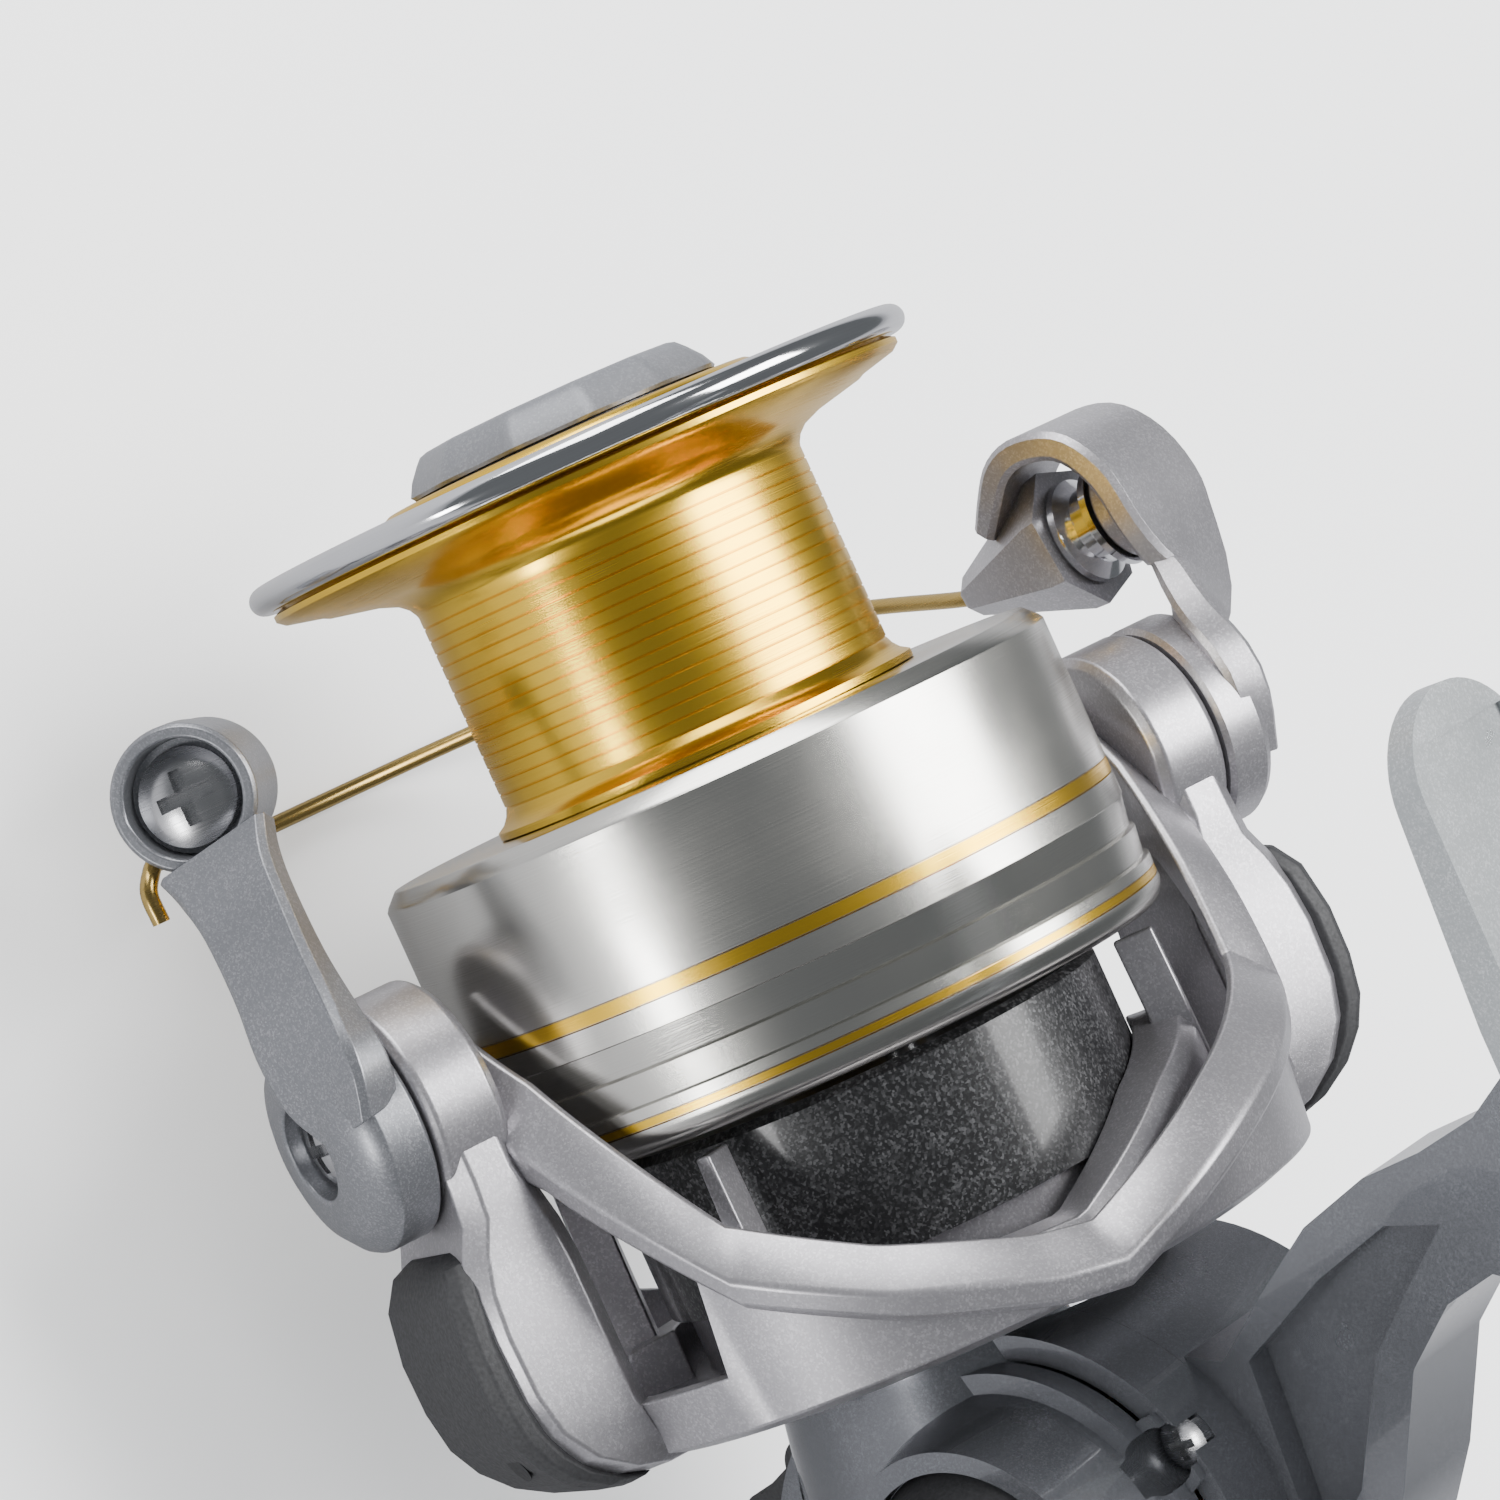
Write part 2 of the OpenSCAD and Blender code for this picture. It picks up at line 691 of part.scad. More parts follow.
module guide_rods() {
    color(steel) for (side = [-1, 1])
        translate([tail_x - tail_r + 4.2, side * guide_y, guide_h - axis_drop]) rotate([0, 90, 0])
            cylinder(r = guide_r, h = guide_l - 0.4);
}

module main_shaft() {
    nose_s = -knob_h + 2.6;
    color(steel) on_shaft(lip_x - slider_x + slider_t / 2) {
        cylinder(r = shaft_r, h = lip_x - nose_s - slider_x + slider_t / 2);
        // Cross pin that drives the drag stack
        translate([0, 0, lip_x - slider_x + slider_t / 2 - core_rear_s - 7.5]) tube(5, shaft_r - 0.2, 2);
    }
}

module bail_trip_ramp() {
    color(black) back_from(neck_s - 1) difference() {
        tube(neck_r - 0.6, snout_r + 0.1, 0.96);
        translate([0, 0, -1]) linear_extrude(4) polygon([[0, 0], [40, 23], [40, -23]]);
    }
}

// ---------------------------------------------------------------- rotor

// One arm's outline, in reach from the spool axis and station behind the lip
module arm_outline() {
    polygon([
        [arm_inner, pivot_s], [arm_face, pivot_s], [arm_face, pivot_s + pivot_r + 0.6],
        [arm_reach - 1.5, pivot_s + pivot_r + 3], [arm_reach, cup_s + 3], [arm_reach, floor_s - 4],
        [arm_reach - 5.5, floor_s + 1.6], [hoop_r - 1, floor_s + floor_t], [26, floor_s + floor_t],
        [26, floor_s + 0.5], [hoop_r, floor_s - 0.5], [hoop_r, pivot_s + pivot_r + 2]
    ]);
}

// Lifts an outline of reach and station into the rotor's frame, centred across the arms
module arm_slab(w) {
    translate([0, 0, -w / 2]) rotate([0, 0, 90]) linear_extrude(w) children();
}

module arm(side) {
    mirror([0, side < 0 ? 1 : 0, 0]) difference() {
        union() {
            arm_slab(arm_w) arm_outline();
            translate([-pivot_s, arm_inner, 0]) rotate([-90, 0, 0]) cylinder(r = pivot_r, h = arm_face - arm_inner);
        }
        // Hollow of the arm behind its cover
        translate([-floor_s + 5, arm_reach - 8, -6.5]) cube([floor_s - pivot_s - pivot_r - 9, 12, 13]);
    }
}

// Band of the hoop seen from the side, in reach along the arms and station
module hoop_outline() {
    front = [
        [0, floor_s - 2.5], [0.745 * hoop_r, floor_s - 13.5], [0.87 * hoop_r, floor_s - 17.5],
        [hoop_r + 7.8, pivot_s - 4]
    ];
    back = [
        [hoop_r + 7.8, pivot_s + 5], [0.91 * hoop_r, floor_s - 12], [0.773 * hoop_r, floor_s - 7],
        [0, floor_s + 4]
    ];
    for (side = [0, 1]) mirror([side, 0]) polygon(concat(front, back));
}

module rotor() {
    color(rotor_grey) in_rotor() difference() {
        union() {
            // Cup: web, wall and floor ring
            rotate([0, -90, 0]) rotate_extrude() polygon([
                [pinion_r + 0.02, cup_s], [cup_r, cup_s], [cup_r, floor_s], [hoop_r - 1, floor_s],
                [hoop_r - 1, floor_s + floor_t - 1.5], [hoop_r - 6, floor_s + floor_t],
                [cup_r - cup_wall, floor_s + floor_t], [cup_r - cup_wall, cup_s + cup_web_t],
                [pinion_r + 0.02, cup_s + cup_web_t]
            ]);
            intersection() {
                arm_slab(120) hoop_outline();
                rotate([0, -90, 0]) translate([0, 0, 30]) tube(hoop_r + hoop_t, hoop_r, 70);
            }
            // Ribs that carry the hoop from the floor ring
            for (turn = [60, 120, 240, 300]) rotate([turn - 90, 0, 0])
                translate([-floor_s - floor_t + 1, -2.5, hoop_r - 2.2]) cube([9, 5, 4]);
            arm(1);
            arm(-1);
        }
        rotate([0, -90, 0]) translate([0, 0, 10]) cylinder(r = hoop_r - 0.02, h = floor_s - 10);
        // Threaded ends of the bail's pivots
        for (side = [-1, 1]) translate([-pivot_s, side * (arm_face + arm_inner) / 2, 0])
            rotate([90, 0, 0]) cylinder(r = 2 + seat_gap, h = 16, center = true);
    }
    color(rotor_grey) in_rotor() rotate([0, -90, 0]) rotate_extrude() polygon([
        [pinion_r + 0.02, cup_s], [cup_r, cup_s], [cup_r, floor_s + 0.2],
        [cup_r - cup_wall, floor_s + 0.2], [cup_r - cup_wall, cup_s + cup_web_t],
        [pinion_r + 0.02, cup_s + cup_web_t]
    ]);
}

module rotor_cup_cover() {
    color(black) in_rotor() rotate([0, -90, 0]) rotate_extrude() polygon([
        [cup_r - 4, cup_s - 1.2], [cup_r + 0.8, cup_s - 1.2], [cup_r + 1.6, cup_s - 0.4],
        [cup_r + 1.6, floor_s - 6], [cup_r + seat_gap, floor_s - 6], [cup_r + seat_gap, cup_s - seat_gap],
        [cup_r - 4, cup_s - seat_gap]
    ]);
}

module rotor_nut() {
    color(brass) in_rotor() rotate([0, -90, 0]) translate([0, 0, cup_s - nut_t - seat_gap]) difference() {
        cylinder(r = 7.5, h = nut_t, $fn = 6);
        translate([0, 0, -1]) cylinder(r = pinion_r + 0.02, h = nut_t + 2);
    }
}

module nut_retainer() {
    color(steel) in_rotor() rotate([0, -90, 0]) {
        translate([0, 0, cup_s - nut_t - 1.1]) difference() {
            union() {
                cylinder(r = 8.2, h = 0.9);
                translate([0, -3, 0]) cube([13, 6, 0.9]);
            }
            translate([0, 0, -1]) cylinder(r = pinion_r + 0.3, h = 3);
        }
        translate([11, 0, cup_s - nut_t - 1.1 - seat_gap]) rotate([180, 0, 0]) cylinder(r = 2.2, h = 1.2);
        translate([11, 0, cup_s - nut_t - 0.2 + seat_gap]) cylinder(r = 1.8, h = nut_t - 0.1);
    }
}

module arm_cover(side) {
    s0 = pivot_s + pivot_r + 4;
    color(black) in_rotor() mirror([0, side < 0 ? 1 : 0, 0]) difference() {
        translate([-floor_s + 3, arm_reach + seat_gap, -arm_w / 2 + 0.5])
            cube([floor_s - 3 - s0, 2, arm_w - 1]);
        for (s = [s0 + 2.6, floor_s - 5.4]) translate([-s, arm_reach - 1, 0])
            rotate([-90, 0, 0]) cylinder(r = 1.25, h = 6);
    }
}

module arm_cover_left() {
    arm_cover(1);
}

module arm_cover_right() {
    arm_cover(-1);
}

module arm_cover_screws() {
    s0 = pivot_s + pivot_r + 4;
    color(steel) in_rotor() for (side = [1, -1]) mirror([0, side < 0 ? 1 : 0, 0])
        for (s = [s0 + 2.6, floor_s - 5.4]) translate([-s, arm_reach + 2 + 2 * seat_gap, 0])
            rotate([-90, 0, 0]) screw(2.1, 1, 1.1, 1.9);
}

module bail_spring() {
    coils = 7;
    turns_l = 11;
    coil_r = 2.4;
    coil_wire_r = 0.4;
    path = [for (i = [0 : coils * 12])
        [-cup_s - 3.5 - i * turns_l / (coils * 12), coil_r * cos(i * 30), coil_r * sin(i * 30)]];
    color(steel) in_rotor() translate([0, arm_reach - 3.6, 0]) rod_along(path, coil_wire_r, 6, [1, 0, 0]);
}

module spring_guide() {
    color(steel) in_rotor() translate([-cup_s - 1.6, arm_reach - 3.6, 0]) rotate([0, -90, 0]) {
        cylinder(r = 2.6, h = 1);
        cylinder(r = 1.3, h = 12);
    }
}

module bail_pivot_screws() {
    head_y = arm_face + move_gap + disc_t - 2.6;
    color(steel) in_rotor() for (side = [1, -1]) mirror([0, side < 0 ? 1 : 0, 0])
        translate([-pivot_s, head_y, 0]) rotate([-90, 0, 0]) screw(3.9, 1.8, 2, head_y - arm_inner - 0.5);
}

// ---------------------------------------------------------------- bail

// The round end of a bail lever, with its screw well
module lever_disc(side) {
    mirror([0, side < 0 ? 1 : 0, 0]) translate([-pivot_s, arm_face + move_gap, 0]) rotate([-90, 0, 0]) difference() {
        union() {
            cylinder(r = pivot_r, h = disc_t - 2.4);
            translate([0, 0, disc_t - 2.4]) cylinder(r1 = pivot_r, r2 = pivot_r - 3, h = 2.4);
        }
        translate([0, 0, -1]) cylinder(r = 2 + run_gap, h = disc_t + 2);
        translate([0, 0, disc_t - 2.6 - 0.05]) cylinder(r = 4.6, h = disc_t);
    }
}

// Local z leaves the lever's face, local x runs from the pivot end to the tip
module on_lever_face() {
    translate(lever_tip) rotate([lever_tilt - 90, 0, 0]) rotate([0, lever_lean, 0]) children();
}

module bail_lever() {
    color(graphite) in_rotor() difference() {
        union() {
            lever_disc(1);
            hull() {
                translate([-pivot_s + 3, arm_face + move_gap + 0.6, 5]) rotate([-90, 0, 0])
                    cylinder(r = 4.4, h = disc_t - 3.2, $fn = 32);
                translate([-pivot_s + 16, arm_face + 4.8, 3]) rotate([lever_tilt - 90, 0, 0])
                    cylinder(r = 4.6, h = lever_plate_t, center = true, $fn = 32);
            }
            hull() {
                translate([-pivot_s + 16, arm_face + 4.8, 3]) rotate([lever_tilt - 90, 0, 0])
                    cylinder(r = 4.6, h = lever_plate_t, center = true, $fn = 32);
                on_lever_face() cylinder(r = lever_face_r - 0.7, h = lever_plate_t - 0.4, center = true, $fn = 32);
            }
            on_lever_face() translate([0, 0, -lever_plate_t / 2 - 2]) cylinder(r = lever_face_r, h = 2 + lever_plate_t);
        }
        on_lever_face() translate([0, 0, -lever_plate_t / 2 - 0.3]) cylinder(r = 5.4, h = 9);
        on_lever_face() translate([0, 0, -9]) cylinder(r = 1.7, h = 12);
        translate([-pivot_s, arm_face, 0]) rotate([-90, 0, 0]) cylinder(r = 2 + run_gap, h = 20);
        translate([-pivot_s, arm_face + move_gap + disc_t - 2.65, 0]) rotate([-90, 0, 0]) cylinder(r = 4.6, h = 20);
        wire_hole();
    }
}

module wire_holder() {
    color(graphite) in_rotor() difference() {
        on_lever_face() translate([0, 0, -lever_plate_t / 2 - 2 - seat_gap - lever_boss_t])
            cylinder(r = lever_face_r - 0.3, h = lever_boss_t);
        on_lever_face() translate([0, 0, -20]) cylinder(r = 1.7, h = 30);
        wire_hole();
    }
}

module lever_screw() {
    color(steel) in_rotor() on_lever_face()
        translate([0, 0, -lever_plate_t / 2 - 0.3 + seat_gap]) screw(4.7, 2.6, 1.5, lever_boss_t + 1.2);
}

// Route of the bail wire in the rotor's frame: x ahead of the lip, y along the arms
wire_hold = lever_tip - (lever_plate_t / 2 + 2 + lever_boss_t / 2) * [0, cos(lever_tilt), sin(lever_tilt)];
wire_entry = wire_hold + [-4.4, -5.6, -3.6];
wire_exit = wire_hold + [-4.4, 8, 1.4];
cone_tip = roller_at - (roller_l / 2 + 0.3 + holder_tip_l) * unit(roller_axis);
wire_hook = [wire_hold + [-9.6, 9.8, 2], wire_hold + [-6.6, 9.7, 2], wire_exit];
bow_x = lever_tip[0] - 6.2;
bow = arm_face / 46;
wire_loop = [
    wire_entry, [bow_x + 0.6, 39.9 * bow, -19], [bow_x, 39.4 * bow, -31], [bow_x, 35.5 * bow, -42 * bow],
    [bow_x, 25 * bow, -51 * bow], [bow_x, 12 * bow, -56 * bow], [bow_x, 0, -57.2 * bow],
    [bow_x - 0.2, -12 * bow, -56 * bow], [bow_x - 0.8, -25 * bow, -51.6 * bow],
    [bow_x - 2.6, -35.5 * bow, -43.4 * bow], [bow_x - 5.6, -41.6 * bow, -33.5 * bow],
    cone_tip, cone_tip + 3 * unit(roller_axis)
];
wire_path = concat(spline(wire_hook, 4), spline(wire_loop, 5));

// Straight hole of the wire across its holder
module wire_hole() {
    run = wire_exit - wire_entry;
    translate(wire_entry - run) aim(run) cylinder(r = wire_r + seat_gap, h = 3 * norm(run));
}

module bail_wire() {
    color(gold) in_rotor() rod_along(wire_path, wire_r, 12, [0, 0.02, 1]);
}

// The faceted cone that the wire ends in, and the arm that carries the line roller
module holder_frame() {
    translate(roller_at) aim(roller_axis) children();
}

module roller_arm() {
    gap = 0.3;
    back = roller_l / 2 + gap;
    color(rotor_grey) in_rotor() difference() {
        union() {
            lever_disc(-1);
            // Cone on the wire's side of the roller
            holder_frame() translate([0, 0, -back - holder_tip_l])
                cylinder(r1 = 2.2, r2 = holder_r, h = holder_tip_l);
            // Cheek on the other side of the roller
            holder_frame() translate([0, 0, back]) cylinder(r = 5.2, h = 2.6);
            // Hood over the roller, ahead of it
            hull() {
                holder_frame() translate([-roller_d / 2 - 1.6, 2, -back - 2]) cylinder(r = 1.2, h = 2 * back + 4.4, $fn = 32);
                holder_frame() translate([-roller_d / 2 - 1.6, -3.4, -back - 2]) cylinder(r = 1.2, h = 2 * back + 4.4, $fn = 32);
            }
            hull() {
                holder_frame() translate([0, -1, back + 0.2]) cylinder(r = 4.6, h = 2.6, $fn = 32);
                translate([-pivot_s + 3, -arm_face - move_gap - 0.6, 4]) rotate([90, 0, 0])
                    cylinder(r = 5.2, h = disc_t - 2, $fn = 32);
            }
        }
        holder_frame() translate([0, 0, -back]) cylinder(r = roller_d / 2 + 0.7, h = 2 * back);
        holder_frame() translate([0, 0, -back - 6]) cylinder(r = 1.5 + 0.02, h = 20);
        translate([-pivot_s, -arm_face, 0]) rotate([90, 0, 0]) cylinder(r = 2 + run_gap, h = 20);
        translate([-pivot_s, -arm_face - move_gap - disc_t + 2.65, 0]) rotate([90, 0, 0]) cylinder(r = 4.6, h = 20);
        holder_frame() translate([0, 0, -back - holder_tip_l - 1]) cylinder(r = wire_r + 0.45, h = 4.4);
        holder_frame() translate([0, 0, back + 2.8]) cylinder(r = 3.2, h = 8);
    }
}

module line_roller() {
    half = roller_l / 2;
    r = roller_d / 2;
    color(steel) in_rotor() holder_frame() rotate_extrude() polygon([
        [2.6 + run_gap, -half], [r, -half], [r, -half + 0.8], [r - 1.4, -half + 1.8],
        [r - 1.4, half - 1.8], [r, half - 0.8], [r, half], [2.6 + run_gap, half]
    ]);
}

module roller_bush() {
    color(brass) in_rotor() holder_frame() translate([0, 0, -roller_l / 2 - 0.25])
        tube(2.6, 1.52, roller_l + 0.5);
}

module roller_screw() {
    back = roller_l / 2 + 0.3;
    color(steel) in_rotor() holder_frame() translate([0, 0, back + 2.8 + seat_gap]) screw(2.9, 1.5, 1.5, 2 * back + 7.6);
}

// ---------------------------------------------------------------- spool

function groove_points(s0, s1, n) = let (p = (s1 - s0) / n) [
    for (i = [0 : n - 1]) each [
        [arbor_r, s0 + i * p], [arbor_r, s0 + (i + 0.78) * p], [arbor_r - 0.22, s0 + (i + 0.86) * p],
        [arbor_r - 0.22, s0 + (i + 0.92) * p]
    ]
];

module spool_core() {
    bore = shaft_r + run_gap;
    rim_r = lip_r - 2 * ring_r;
    color(gold) turned(concat(
        [
            [bore, drag_floor_s], [drag_pocket_r, drag_floor_s], [drag_pocket_r, spool_nose_s],
            [drag_pocket_r + 4.6, spool_nose_s], [drag_pocket_r + 5.4, spool_nose_s + 0.8],
            [drag_pocket_r + 5.4, -0.6], [rim_r - 2, 0.1], [rim_r, 0.1], [rim_r, 1.2],
            [lip_r - 1.6, ring_r + 0.3], [lip_r - 1.6, 2.4], [rim_r - 3, 3.6], [arbor_r + 3, 5],
            [arbor_r + 1.2, 5.8], [arbor_r + 0.3, 6.8]
        ],
        groove_points(7.6, skirt_s - 2, arbor_grooves),
        [
            [arbor_r, skirt_s - 2], [arbor_r + 0.5, skirt_s - 1.1], [arbor_r + 1.6, skirt_s - 0.3],
            [arbor_r + 1.6, skirt_s + 0.4], [arbor_r - 0.6, skirt_s + 0.4], [arbor_r - 0.6, skirt_s + 2.6],
            [16, skirt_s + 2.6], [16, core_rear_s], [bore, core_rear_s]
        ]
    ));
}

module spool_skirt() {
    top = skirt_s + 0.5;
    hole_r = arbor_r - 0.55;
    inner = skirt_r - skirt_wall;
    line_w = 0.8;
    line_s = skirt_s + 16.3;
    color(silver) turned([
        [hole_r, top], [skirt_r - 1.5, top], [skirt_r, top + 1.5],
        [skirt_r, line_s], [skirt_r - 0.25, line_s + 0.1], [skirt_r - 0.25, line_s + 0.1 + line_w],
        [skirt_r, line_s + 0.2 + line_w],
        [skirt_r, line_s + 4.2], [skirt_r - 0.5, line_s + 4.6], [skirt_r - 0.5, line_s + 7.8],
        [skirt_r, line_s + 8.2],
        [skirt_r, line_s + 11.4], [skirt_r - 0.25, line_s + 11.5], [skirt_r - 0.25, line_s + 12.2],
        [skirt_r, line_s + 12.3],
        [skirt_r, skirt_end_s - 1.2], [skirt_r - 0.9, skirt_end_s], [inner, skirt_end_s],
        [inner, top + 2], [hole_r, top + 2]
    ]);
}

module lip_ring() {
    color(silver) back_from(0) rotate_extrude() difference() {
        translate([lip_r - ring_r, 0]) circle(r = ring_r);
        polygon([
            [lip_r - 2 * ring_r - 1, 0.05], [lip_r - 2 * ring_r + seat_gap, 0.05],
            [lip_r - 2 * ring_r + seat_gap, 1.25], [lip_r - 1.5, ring_r + 0.25], [lip_r - 1.5, 4],
            [lip_r - 2 * ring_r - 1, 4]
        ]);
    }
}

// Stations of the drag stack's washers, from the pocket's floor forward
function washer_s(i) = drag_floor_s - seat_gap - (i + 1) * (drag_washer_t + seat_gap);

module washer(i, r_out, r_in) {
    back_from(washer_s(i)) tube(r_out, r_in, drag_washer_t);
}

module drag_washers_felt() {
    color(black) for (i = [0, 2, 4]) washer(i, drag_pocket_r - 1, shaft_r + 0.6);
}

module drag_washers_steel() {
    color(steel) washer(3, drag_pocket_r - 0.3, shaft_r + 1);
}

module drag_keyed_washer() {
    color(steel) {
        washer(1, drag_pocket_r - 1.2, shaft_r + 0.02);
        washer(5, drag_pocket_r - 1.2, shaft_r + 0.02);
    }
}

module drag_clip() {
    color(steel) back_from(washer_s(5) - 1.4) difference() {
        tube(drag_pocket_r - seat_gap, drag_pocket_r - 1, 0.9);
        translate([0, 0, -1]) linear_extrude(4) polygon([[0, 0], [30, 8], [30, -8]]);
    }
}

module click_gear() {
    color(steel) back_from(core_rear_s + 0.5) difference() {
        linear_extrude(2) gear_outline(9, 24, 0.8);
        translate([0, 0, -1]) cylinder(r = shaft_r + 0.02, h = 5);
    }
}

module click_pawl() {
    color(black) back_from(core_rear_s + seat_gap) translate([13, 0, 0]) {
        cylinder(r = 1.6, h = 2.6);
        translate([-2.7, -0.6, 0.5]) cube([2.7, 1.2, 2]);
    }
}

// The drag knob: a tapered grip with flat sides on a sleeve that reaches into the pocket
knob_base_s = spool_nose_s - 0.4;
knob_sleeve_l = 3.6;
drag_nut_t = 2.1;

module drag_knob() {
    r = knob_d / 2;
    color(graphite) on_shaft(knob_base_s + knob_sleeve_l) difference() {
        union() {
            cylinder(r = drag_pocket_r - 0.8, h = knob_sleeve_l + 0.5);
            translate([0, 0, knob_sleeve_l]) intersection() {
                cylinder(r1 = r + 0.6, r2 = r - 2, h = knob_h + knob_base_s);
                linear_extrude(knob_h) circle(r = r, $fn = 12);
            }
        }
        translate([0, 0, -1]) cylinder(r = 8, h = knob_sleeve_l + 0.4);
        cylinder(r = 5.2, h = knob_sleeve_l + drag_nut_t - 0.4, $fn = 6);
    }
}

module drag_nut() {
    color(brass) on_shaft(knob_base_s + 0.55) difference() {
        cylinder(r = 4.9, h = drag_nut_t - 0.1, $fn = 6);
        translate([0, 0, -1]) cylinder(r = shaft_r + 0.02, h = 8);
    }
}

module drag_spring() {
    coil_r = 5.4;
    top = 3.6;
    path = [for (i = [0 : 36]) [coil_r * cos(i * 30), coil_r * sin(i * 30), i * top / 36]];
    color(steel) on_shaft(washer_s(5) - 0.7) rod_along(path, 0.5, 6, [0, 0, 1]);
}

// ---------------------------------------------------------------- handle

hub_y = boss_reach + 5.4;
// The crank turns outside the rotor and the open bail
arm_y = arm_reach + 17;
arm_turn = 18;

// The handle's own frame: local x runs along the crank, local z out to the handle side
module on_crank(y) {
    across(handle_x, handle_h, y) rotate([0, 0, 180 - arm_turn]) children();
}

module handle_hub() {
    color(black) on_crank(hub_y) difference() {
        union() {
            cylinder(r1 = 10.6, r2 = 9.4, h = 7);
            translate([0, 0, 7 - eps]) cylinder(r1 = 9, r2 = 8, h = arm_y - hub_y - 7 + eps);
            translate([0, 0, arm_y - hub_y - eps]) cylinder(r = 8, h = 2);
        }
        translate([0, 0, -1]) cylinder(r = drive_r + 0.02, h = 3);
    }
}

module handle_arm() {
    color(graphite) on_crank(arm_y) difference() {
        union() {
            linear_extrude(5) link_outline(9.2, 6.4, crank_l);
            translate([0, 0, 5 - eps]) cylinder(r1 = 9.2, r2 = 7, h = 2);
        }
        translate([0, 0, -1]) cylinder(r = 8.02, h = 3.2);
        translate([crank_l, 0, -1]) cylinder(r = 2.5 + 0.02, h = 8);
    }
}

module grip_post() {
    color(steel) on_crank(arm_y - 0.8) translate([crank_l, 0, 0]) {
        cylinder(r = 4, h = 0.76);
        cylinder(r = 2.5, h = 8);
        cylinder(r = 2, h = grip_l + 4);
    }
}

module handle_grip() {
    r = grip_d / 2;
    color(black) on_crank(arm_y + 5.6) translate([crank_l, 0, 0]) rotate_extrude() polygon([
        [2.5 + run_gap, 0], [7, 0], [8.5, 1], [r * 0.62, 6], [r * 0.72, grip_l * 0.3],
        [r * 0.95, grip_l * 0.55], [r, grip_l * 0.72], [r * 0.94, grip_l * 0.88], [r * 0.7, grip_l - 1],
        [r * 0.5, grip_l - 0.4], [r * 0.5, grip_l - 2], [2 + run_gap, grip_l - 2],
        [2 + run_gap, 5], [2.5 + run_gap, 4]
    ]);
}

module grip_cap() {
    r = grip_d / 2;
    color(silver) on_crank(arm_y + 5.6) translate([crank_l, 0, grip_l - 1.7]) difference() {
        cylinder(r1 = r * 0.5 - 0.3, r2 = r * 0.42, h = 2);
        translate([0, 0, -1]) cylinder(r = 2.02, h = 2.2);
    }
}

module handle_cap() {
    ridges = 36;
    cap_r = 10.4;
    color(black) across(handle_x, handle_h, -half_w - 15.5) difference() {
        union() {
            cylinder(r = cap_r - 0.8, h = 7);
            translate([0, 0, 1]) linear_extrude(4.8) gear_outline(cap_r - 0.5, ridges, 0.4);
        }
        translate([0, 0, 3]) cylinder(r = 6.2, h = 9);
    }
}

body_frame();
side_cover();
side_cover_screws();
rear_cover();
rear_cover_screw();
anti_reverse_lever();
clutch_housing();
clutch_rollers();
clutch_sleeve();
front_bearing();
rear_bearing();
drive_bearings();
drive_gear();
pinion_gear();
oscillation_gear();
oscillation_screw();
slider();
slider_screw();
guide_rods();
main_shaft();
bail_trip_ramp();
boss_collar();
rotor();
rotor_cup_cover();
rotor_nut();
nut_retainer();
arm_cover_left();
arm_cover_right();
arm_cover_screws();
bail_spring();
spring_guide();
bail_pivot_screws();
bail_lever();
lever_screw();
bail_wire();
wire_holder();
roller_arm();
line_roller();
roller_bush();
roller_screw();
spool_core();
spool_skirt();
lip_ring();
drag_washers_steel();
drag_washers_felt();
drag_keyed_washer();
drag_clip();
click_gear();
click_pawl();
drag_knob();
drag_nut();
drag_spring();
handle_hub();
handle_arm();
handle_grip();
grip_post();
grip_cap();
handle_cap();
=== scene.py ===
"""Looks of a front-drag spinning reel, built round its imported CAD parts."""
import json
import math

import bmesh
import bpy
import numpy as np
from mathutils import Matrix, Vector


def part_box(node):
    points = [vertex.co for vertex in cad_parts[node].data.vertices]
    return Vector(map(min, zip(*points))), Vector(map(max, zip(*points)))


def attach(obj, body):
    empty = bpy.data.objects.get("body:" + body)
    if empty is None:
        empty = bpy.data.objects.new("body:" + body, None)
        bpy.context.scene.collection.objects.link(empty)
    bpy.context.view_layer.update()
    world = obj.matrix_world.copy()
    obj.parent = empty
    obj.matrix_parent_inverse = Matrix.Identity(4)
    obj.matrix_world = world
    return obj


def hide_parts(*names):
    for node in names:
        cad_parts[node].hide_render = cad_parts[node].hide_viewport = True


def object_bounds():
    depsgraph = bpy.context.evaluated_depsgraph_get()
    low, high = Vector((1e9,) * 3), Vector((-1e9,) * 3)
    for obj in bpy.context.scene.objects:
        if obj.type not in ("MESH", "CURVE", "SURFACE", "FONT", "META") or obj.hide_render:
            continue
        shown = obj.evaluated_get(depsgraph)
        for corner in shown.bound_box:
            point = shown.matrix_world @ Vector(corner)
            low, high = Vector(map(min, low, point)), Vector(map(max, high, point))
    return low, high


bl_info = {
    "name": "Spinning reel looks",
    "version": (1, 0, 0),
    "blender": (4, 5, 0),
    "location": "View3D > Sidebar > Reel",
    "description": "Makes the visible shell, metalwork and finishes of a spinning reel",
    "category": "Object",
}

MM = 0.001
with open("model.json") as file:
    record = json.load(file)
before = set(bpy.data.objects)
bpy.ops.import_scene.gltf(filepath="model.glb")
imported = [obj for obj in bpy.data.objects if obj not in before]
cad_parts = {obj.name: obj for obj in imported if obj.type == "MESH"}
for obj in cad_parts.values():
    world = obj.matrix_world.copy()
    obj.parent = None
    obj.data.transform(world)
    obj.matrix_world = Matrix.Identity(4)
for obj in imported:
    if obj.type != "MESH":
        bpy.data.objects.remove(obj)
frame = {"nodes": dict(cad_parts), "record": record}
CAD_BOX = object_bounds()
NODES = frame["nodes"]

